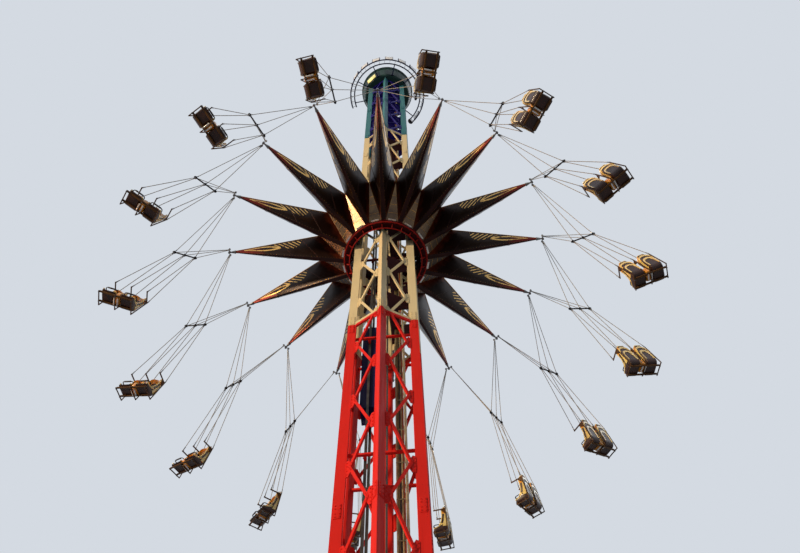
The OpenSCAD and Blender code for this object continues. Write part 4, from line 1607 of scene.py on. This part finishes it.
@dataclass
class Swing:
    """One pair of seats on its cables, between the tips of two arms."""

    number: int = 1
    tip_z: float = 18.013
    tip_r: float = 3.200
    turn: float = 2.73
    arms: int = 16
    angle: float = 18.1
    spreader_drop: float = 1.872
    spreader_half: float = 0.206
    seat_drop: float = 3.856
    hanger_x: float = 0.2983
    hanger_z: float = -3.621
    hanger_y: tuple[float, float] = (-0.150, 0.060)

    def frame(self) -> Matrix:
        """Frame of the swing: X out, Y along the hinge line, -Z down the cables.

        Returns:
            The frame.
        """
        step = 360 / self.arms
        hinge_r = self.tip_r * math.cos(math.radians(step / 2))
        turn = -90 + self.turn + (self.number - 0.5) * step
        return turned(turn, hinge_r, self.tip_z) @ rolled(-self.angle, "Y")


@dataclass
class Rigging:
    """Cables, eyes, spreader bar and sockets of a swing, in the swing's frame."""

    swing: Swing
    eye_at: float = 0.5623
    eye_w: float = 0.024
    eye_r: float = 0.0211
    pin_r: float = 0.0091
    lug_z: float = -0.0361
    lug_top: float = -0.0185
    clamp_h: float = 0.034
    socket_h: float = 0.034
    apart: float = 0.0075
    rope_r: float = 0.006
    bar_over: float = 0.022
    ball_r: float = 0.022

    def cables(self) -> Iterable[tuple[Vector, Vector]]:
        """Upper and lower end of each rope.

        Returns:
            The pairs of ends.
        """
        swing = self.swing
        half = swing.spreader_half
        for x in (-1, 0, 1):
            for side in (-1, 1):
                yield (Vector((x * 0.014, side * self.eye_at, self.lug_z)),
                       Vector((x * half, side * self.apart, self.clamp_h / 2 - swing.spreader_drop)))
            for side, y in zip((-1, 1), swing.hanger_y):
                yield (Vector((x * half, side * self.apart, -self.clamp_h / 2 - swing.spreader_drop)),
                       Vector((x * swing.hanger_x, y, swing.hanger_z + self.socket_h)))

    def ropes(self) -> bpy.types.Mesh:
        """The twelve wire ropes.

        Returns:
            The pattern.
        """
        made = Assembly()
        for top, low in self.cables():
            made.stamp(tube([top.lerp(low, k / 4) for k in range(5)], self.rope_r, 8))
        return made.pattern()

    def fittings(self) -> bpy.types.Mesh:
        """Eyes with lugs, ferrules, spreader bar with balls and clamps, and sockets.

        Returns:
            The pattern.
        """
        made = Assembly()
        swing, half, ease = self.swing, self.eye_w / 2, 0.003
        eye = lathe([(self.pin_r, -half), (self.eye_r - ease, -half), (self.eye_r, ease - half),
                     (self.eye_r, half - ease), (self.eye_r - ease, half), (self.pin_r, half)],
                    28, True)
        lug = block((0.042, self.eye_w, -self.lug_z + self.lug_top), 0.004)
        for side in (-1, 1):
            made.stamp(eye, seat_on((0, side * self.eye_at, 0), (0, 1, 0)))
            made.stamp(lug, moved(0, side * self.eye_at, (self.lug_z + self.lug_top) / 2))
        ferrule = rod(0.0085, 0.060, 10, 0.002)
        for top, low in self.cables():
            run = (low - top).normalized()
            made.stamp(ferrule, seat_on(top + run * 0.004, run))
            made.stamp(ferrule, seat_on(low - run * 0.064, run))
        reach = swing.spreader_half
        bar = rod(0.013, 2 * reach + 2 * self.bar_over, 14, 0.002)
        made.stamp(bar, seat_on((-reach - self.bar_over, 0, -swing.spreader_drop), (1, 0, 0)), 1)
        ball = lathe([(self.ball_r * math.sin(math.pi * k / 10) + (0.0005 if k in (0, 10) else 0),
                       -self.ball_r * math.cos(math.pi * k / 10)) for k in range(11)], 16)
        clamp = block((0.030, 0.048, self.clamp_h), 0.006)
        nut = hex_bolt(Bolt.CLAMP)
        for x in (-1, 0, 1):
            at = moved(x * reach, 0, -swing.spreader_drop)
            made.stamp(clamp, at, 1)
            for side in (-1, 1):
                made.stamp(nut, at @ seat_on((0, side * 0.0235, 0), (0, side, 0)))
            if x:
                made.stamp(ball, at @ moved(x * 0.020, 0, 0), 1)
            for y in swing.hanger_y:
                made.stamp(rod(0.011, self.socket_h, 14, 0.003),
                           moved(x * swing.hanger_x, y, swing.hanger_z + 0.0003))
        return made.pattern()


@dataclass
class DoubleSeat:
    """Two moulded tubs with a console between them, on a hanger frame, in the swing's frame."""

    swing: Swing
    tub_at: float = 0.172
    half_w: float = 0.118
    pan_half: float = 0.135
    back_h: float = 0.498
    bend_r: float = 0.060
    shell: float = 0.020
    skin_t: float = 0.016
    rim_r: float = 0.011
    bar_t: float = 0.016
    pad_inset: float = 0.021
    pad_depth: float = 0.008
    pad_edge: float = 0.14
    pad_span: float = 0.72
    steps: int = 30
    columns: int = 16

    def __post_init__(self) -> None:
        """Works out the pan's height and the line that a tub's outer skin follows."""
        self.pan_z = -self.swing.seat_drop - 0.190
        low, back = self.pan_z - self.shell, -self.pan_half - self.shell
        bend = self.bend_r + self.shell
        line = [(self.pan_half - 0.002, low + 0.008), (self.pan_half - 0.016, low),
                (self.pan_half - 0.08, low), (self.pan_half - 0.15, low)]
        for k in range(7):
            angle = math.radians(-90 - 90 * k / 6)
            line.append((back + bend + bend * math.cos(angle), low + bend + bend * math.sin(angle)))
        rise = self.pan_z + self.back_h - low - bend
        line += [(back, low + bend + rise * t) for t in (0.2, 0.4, 0.6, 0.8, 0.92, 1.0)]
        self.line = [Vector((0, y, z)) for y, z in line]
        self.runs = runs_of(self.line)
        self.joints = (0.055 - self.pan_half, self.pan_half - 0.045)

    def centre(self, along: float) -> tuple[Vector, Vector]:
        """Place on the tub's centre line, from the front lip to the top, and the way inwards.

        Args:
            along: share along it.

        Returns:
            The place and the way inwards.
        """
        want = along * self.runs[-1]
        k = max(1, next((i for i, run in enumerate(self.runs) if run >= want - 1e-9),
                        len(self.runs) - 1))
        share = (want - self.runs[k - 1]) / (self.runs[k] - self.runs[k - 1])
        ahead = (self.line[k] - self.line[k - 1]).normalized()
        return self.line[k - 1].lerp(self.line[k], share), Vector((0, ahead.z, -ahead.y))

    def skin(self, inset: float, across: float, along: float) -> Vector:
        """Place on a tub's surface, moved inwards by a distance.

        Args:
            inset: the distance.
            across: share across it.
            along: share along it.

        Returns:
            The place.
        """
        point, inward = self.centre(along)
        side = 2 * across - 1
        # The tub narrows towards its crest and its front lip
        crest = 1 - max(0.0, (along - 0.80) / 0.20) ** 2.2 * 0.52
        nose = 1 - max(0.0, (0.10 - along) / 0.10) ** 2 * 0.16
        wide = (self.half_w - inset) * crest * nose
        # Its cheeks rise most beside the bend and fade out at the crest
        rise = 0.062 + 0.090 * math.exp(-((along - 0.38) / 0.20) ** 2) + 0.020 * along
        rise *= 1 - max(0.0, (along - 0.86) / 0.14) ** 2 * 0.9
        # Its section is nearly flat in the middle and turns up at both sides
        bend = abs(side) ** 5.0
        wall = max(0.0, (abs(side) - 0.62) / 0.38)
        lift = rise * wall ** 1.7
        x = wide * math.copysign(min(1.0, abs(side) * 1.28 - 0.28 * bend), side)
        return point + inward * (inset + lift) + Vector((x, 0, 0))

    def tub(self) -> bpy.types.Mesh:
        """One tub with an outer and an inner skin.

        Returns:
            The pattern.
        """
        made = Assembly()
        for inset in (0.0, self.skin_t):
            made.stamp(bent_sheet(self.columns, self.steps, partial(self.skin, inset)))
        made.bridge()
        front = -self.pan_half - 0.75 * self.shell
        for face in made.shape.faces:
            middle = face.calc_center_median()
            face.material_index = 1 if middle.y > front and middle.z > self.pan_z + 0.33 else 0
        return made.pattern()

    def band(self, inset: float, reach: float, top: float, across: float, along: float) -> Vector:
        """Place on a raised band that arches over the back.

        Args:
            inset: distance inwards from the tub's surface.
            reach: its spread across the tub.
            top: share along the tub at its crown.
            across: share across it.
            along: share along it.

        Returns:
            The place.
        """
        turn, foot = math.pi * along, 0.44
        wide = (reach - 0.13 * across) / 2
        high = top - 0.060 * across - foot
        return self.skin(inset, 0.5 - wide * math.cos(turn), foot + high * math.sin(turn) ** 0.38)

    def bands(self) -> bpy.types.Mesh:
        """Rolled rim and the raised bands of one tub.

        Returns:
            The pattern.
        """
        made = Assembly()
        rim = partial(self.skin, 0.004)
        path = [rim(0.0, k / self.steps) for k in range(self.steps + 1)]
        path += [rim(k / 12, 1.0) for k in range(1, 12)]
        path += [rim(1.0, 1 - k / self.steps) for k in range(self.steps + 1)]
        made.stamp(tube(path, self.rim_r, 8))
        for reach, top in ((0.90, 0.955), (0.62, 0.80)):
            ribbon = Assembly()
            for inset in (-0.0065, 0.003):
                ribbon.stamp(bent_sheet(2, 44, partial(self.band, inset, reach, top)))
            ribbon.bridge()
            made.stamp(ribbon.pattern())
        return made.pattern()

    def cover(self, low: float, high: float, crown: float, across: float, along: float) -> Vector:
        """Place on a pad's crowned cover, pinched at its edges and at a seam.

        Args:
            low: share along the tub where it starts.
            high: share where it ends.
            crown: its height in the middle.
            across: share across it.
            along: share along it.

        Returns:
            The place.
        """
        t = low + (high - low) * along
        point = self.skin(self.pad_inset, self.pad_edge + self.pad_span * across, t)
        pinch = (4 * across * (1 - across)) ** 0.45 * (4 * along * (1 - along)) ** 0.45
        seam = 1 - 0.35 * math.exp(-((along - 0.5) / 0.035) ** 2)
        return point + self.centre(t)[1] * (crown * pinch * seam)

    def lining(self, low: float, high: float, across: float, along: float) -> Vector:
        """Place on a pad's hidden side.

        Args:
            low: share along the tub where it starts.
            high: share where it ends.
            across: share across it.
            along: share along it.

        Returns:
            The place.
        """
        t = low + (high - low) * along
        point = self.skin(self.pad_inset, self.pad_edge + self.pad_span * across, t)
        return point - self.centre(t)[1] * self.pad_depth

    def pad(self) -> bpy.types.Mesh:
        """Padded lining of one tub: a seat pad and a back pad.

        Returns:
            The pattern.
        """
        made = Assembly()
        for low, high, crown in ((0.07, 0.33, 0.020), (0.47, 0.86, 0.018)):
            cushion = Assembly()
            cushion.stamp(bent_sheet(10, 14, partial(self.cover, low, high, crown)))
            cushion.stamp(bent_sheet(10, 14, partial(self.lining, low, high)))
            cushion.bridge()
            made.stamp(cushion.pattern())
        return made.pattern()

    def console(self) -> bpy.types.Mesh:
        """Rounded console between the tubs, with two bright latch cylinders under it.

        Returns:
            The pattern.
        """
        made = Assembly()
        shape = bmesh.new()
        bmesh.ops.create_cube(shape, size=1.0, matrix=Matrix.Diagonal((0.098, 0.200, 0.150, 1.0)))
        front = [v for v in shape.verts if v.co.y > 0]
        bmesh.ops.scale(shape, vec=(0.92, 1.0, 0.74), verts=front)
        bevelled(shape, list(shape.edges), 0.028, 4)
        made.stamp(as_pattern(shape), moved(0, -0.012, self.pan_z + 0.058))
        for side in (-1, 1):
            made.stamp(rod(0.013, 0.120, 14, 0.003),
                       seat_on((side * 0.030, 0.040, self.pan_z - 0.030), (0, -1, -0.12)), 1)
        return made.pattern()

    def hangers(self) -> bpy.types.Mesh:
        """Three side frames, the cross tubes, and the joints' bolts.

        Returns:
            The pattern.
        """
        made = Assembly()
        swing, bar, top = self.swing, self.bar_t, self.swing.hanger_z
        foot_z = self.pan_z - 0.0523
        low = foot_z - 0.0183
        rear = swing.hanger_y[0] - bar / 2
        top_len = swing.hanger_y[1] - rear + bar
        foot_len = self.pan_half - 0.020 - rear
        knee = plate([(0.0, 0.0), (0.0, -0.080), (0.012, -0.080), (0.074, -0.010), (0.074, 0.0)],
                     0.010, 0.002)
        bolt = hex_bolt(Bolt.SMALL)
        upright = block((bar, bar, top - low), 0.004)
        rail = block((bar, top_len, 0.024), 0.005)
        foot = block((bar, foot_len, 0.018), 0.004)
        for x in (-1, 0, 1):
            at = x * swing.hanger_x
            made.stamp(upright, moved(at, rear + bar / 2, (top + low) / 2))
            made.stamp(rail, moved(at, rear + top_len / 2, top - 0.012))
            made.stamp(foot, moved(at, rear + foot_len / 2, low + 0.009))
            made.stamp(knee, moved(at, rear + 0.015, top - 0.023) @ ON_EDGE)
            for y in self.joints:
                made.stamp(bolt, seat_on((at, y, low), (0, 0, -1)), 1)
        cross = block((2 * (swing.hanger_x + bar / 2), 0.030, 0.030), 0.007)
        for y in self.joints:
            made.stamp(cross, moved(0, y, foot_z + 0.015))
        return made.pattern()

    def restraints(self) -> bpy.types.Mesh:
        """Lap bar of each tub: side arms on the cheeks, a cross bar with a grip, and its pivots.

        Returns:
            The pattern.
        """
        made = Assembly()
        level = self.pan_z + 0.1183
        reach = self.half_w - self.rim_r
        front = self.pan_half - 0.027
        corners = [(-reach, -0.060, level), (-reach, 0.080, level), (0.008 - reach, 0.098, level),
                   (0.026 - reach, front, level)]
        path = corners + [(-x, y, z) for x, y, z in reversed(corners)]
        for side in (-1, 1):
            centre = side * self.tub_at
            made.stamp(tube([(centre + x, y, z) for x, y, z in path], 0.008))
            made.stamp(rod(0.013, 0.140, 14, 0.004),
                       seat_on((centre - 0.070, front, level), (1, 0, 0)), 1)
            for x in (-reach, reach):
                made.stamp(rod(0.013, 0.020, 16, 0.003),
                           seat_on((centre + x - 0.010, -0.055, level), (1, 0, 0)))
        return made.pattern()


@dataclass
class SwingSet(Section):
    """Builds the sixteen swings from one set of patterns."""

    count: int = 16

    def patterns(self) -> dict[str, bpy.types.Mesh]:
        """Makes each piece of a swing once, in the swing's frame.

        Returns:
            The patterns, by name.
        """
        rigging, seat = Rigging(Swing()), DoubleSeat(Swing())
        sides = [moved(side * seat.tub_at) for side in (-1, 1)]
        made = {"ropes": rigging.ropes(), "fittings": rigging.fittings()}
        shells, pads = Assembly(), Assembly()
        shells.stamp(seat.tub(), sides, None)
        shells.stamp(seat.bands(), sides, 2)
        pads.stamp(seat.pad(), sides)
        return made | {"shells": shells.pattern(), "pads": pads.pattern(),
                       "console": seat.console(), "hangers": seat.hangers(),
                       "restraints": seat.restraints()}

    def build(self) -> None:
        """Builds every swing."""
        patterns = self.patterns()
        for number in range(1, self.count + 1):
            tag = f"{number:02d}"
            self.body = f"swing_{tag}"
            place = Swing(number).frame()
            for name, finishes, slot, nodes in (
                    ("ropes", "cable", "cable_steel", f"rigging_{tag}"),
                    ("fittings", "machined black", "fitting_steel", ""),
                    ("shells", "tub gelcoat pale_gelcoat", "seat_shell", f"seat_{tag}"),
                    ("pads", "vinyl", None, ""),
                    ("console", "gelcoat acrylic", "seat_shell", ""),
                    ("hangers", "seat_frame machined", None, ""),
                    ("restraints", "black vinyl", None, "")):
                made = Assembly()
                made.stamp(patterns[name], place, None)
                piece = self.finish(made, f"swing_{tag}_{name}", finishes, slot, nodes)


# Stage, light and camera


@dataclass
class Studio:
    """Pale floor and backdrop, a low warm key light from the left, and soft fill."""

    floor_r: float = 70.0
    pale: str = "#D4DAE2"
    mottle: str = "#DDE2E8"
    ambient: str = "#E4EAF4"
    world_strength: float = 0.20

    def floor(self) -> None:
        """Pale floor that keeps the ride's shadow."""
        made, tree, where = new_material("pale_floor_paint")
        marks = add(tree, "TexNoise", {"Vector": (where, "Object")}, {"Scale": 0.8, "Detail": 4.0})
        tone = add(tree, "ValToRGB", {"Fac": (marks, "Fac")},
                   stops=((0.3, self.pale), (0.7, self.mottle))), "Color"
        matt = add(tree, "BsdfDiffuse", {"Color": tone})
        glow = add(tree, "Emission", {"Color": tone}, {"Strength": 1.0})
        seen = add(tree, "LightPath")
        half = add(tree, "Math", {0: (seen, "Is Camera Ray")}, {1: 0.45}, operation="MULTIPLY")
        mix = add(tree, "MixShader", {0: (half, 0), 1: (matt, 0), 2: (glow, 0)})
        add(tree, "OutputMaterial", {"Surface": (mix, 0)})
        disc = Assembly()
        bmesh.ops.create_circle(disc.shape, cap_ends=True, segments=96, radius=self.floor_r)
        mesh = disc.pattern()
        mesh.materials.append(made)
        ground = bpy.data.objects.new("studio_floor", mesh)
        ground.location.z = -0.002
        bpy.context.scene.collection.objects.link(ground)

    def lamp(self, name: str, azimuth: float, elevation: float, strength: float, colour: str,
             softness: float) -> None:
        """Adds a distant lamp.

        Args:
            name: name of the lamp.
            azimuth: angle of its place from +X, in degrees.
            elevation: its height in degrees.
            strength: its strength.
            colour: its hex colour.
            softness: its width in degrees.
        """
        data = bpy.data.lights.new(name, "SUN")
        data.energy = strength
        data.color = linear(colour)[:3]
        data.angle = math.radians(softness)
        lamp = bpy.data.objects.new(name, data)
        a, e = math.radians(azimuth), math.radians(elevation)
        way = Vector((math.cos(a) * math.cos(e), math.sin(a) * math.cos(e), math.sin(e)))
        lamp.rotation_euler = way.to_track_quat("Z", "Y").to_euler()
        bpy.context.scene.collection.objects.link(lamp)

    def world(self) -> None:
        """Even soft light, with a pale backdrop for what the camera and gloss see."""
        world = bpy.data.worlds.new("studio_world")
        world.use_nodes = True
        tree = world.node_tree
        tree.nodes.clear()
        seen = add(tree, "LightPath")
        gloss = add(tree, "Math", {0: (seen, "Is Camera Ray"), 1: (seen, "Is Glossy Ray")},
                    operation="MAXIMUM")
        either = add(tree, "Math", {0: (gloss, 0), 1: (seen, "Is Transmission Ray")},
                     operation="MAXIMUM")
        soft, back = (add(tree, "Background", None, {"Color": colour, "Strength": strength})
                      for colour, strength in ((self.ambient, self.world_strength),
                                               (self.pale, 1.0)))
        mix = add(tree, "MixShader", {0: (either, 0), 1: (soft, 0), 2: (back, 0)})
        add(tree, "OutputWorld", {"Surface": (mix, 0)})
        bpy.context.scene.world = world

    def build(self) -> None:
        """Builds the floor, the lamps and the world."""
        self.floor()
        self.world()
        self.lamp("key_light", -136, 7, 2.45, "#FFE2B8", 5)
        self.lamp("rim_light", -172, 4, 0.75, "#FFB27A", 8)
        self.lamp("fill_light", 20, 58, 0.28, "#F4F7FF", 30)


@dataclass
class Viewpoint:
    """Camera of the main view, near the foot of the tower, looking steeply up."""

    place: tuple[float, float, float] = (0.762, -7.165, 0.800)
    azimuth: float = 93.904
    pitch: float = 65.33
    roll: float = -1.434
    focal_px: float = 914.0
    image_w: int = 800
    sensor: float = 36.0
    far: float = 400.0

    def build(self) -> None:
        """Makes the camera and gives it to the scene."""
        a, p, r = (math.radians(v) for v in (self.azimuth, self.pitch, self.roll))
        look = Vector((math.cos(a) * math.cos(p), math.sin(a) * math.cos(p), math.sin(p)))
        right = Vector((math.sin(a), -math.cos(a), 0))
        up = right.cross(look)
        axis_x = right * math.cos(r) + up * math.sin(r)
        axis_y = -right * math.sin(r) + up * math.cos(r)
        turn = Matrix((axis_x, axis_y, -look)).transposed()
        data = bpy.data.cameras.new("main_view")
        data.sensor_fit = "HORIZONTAL"
        data.sensor_width = self.sensor
        data.lens = self.focal_px / self.image_w * self.sensor
        data.clip_end = self.far
        camera = bpy.data.objects.new("main_view", data)
        camera.matrix_world = Matrix.Translation(Vector(self.place)) @ turn.to_4x4()
        bpy.context.scene.collection.objects.link(camera)
        bpy.context.scene.camera = camera


def main() -> None:
    """Builds the ride's looks, the stage and the camera."""
    logging.basicConfig(level=logging.INFO, format="%(message)s")
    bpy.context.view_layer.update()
    Viewpoint().build()
    palette = Palette()
    looks = {finish.name: getattr(palette, finish.name).build() for finish in fields(palette)}
    for section in (Tower, Head, Carriage, Star, SwingSet):
        section(looks).build()
    Studio().build()
    scene = bpy.context.scene
    scene.view_settings.view_transform = "Standard"


if __name__ == "__main__":
    main()
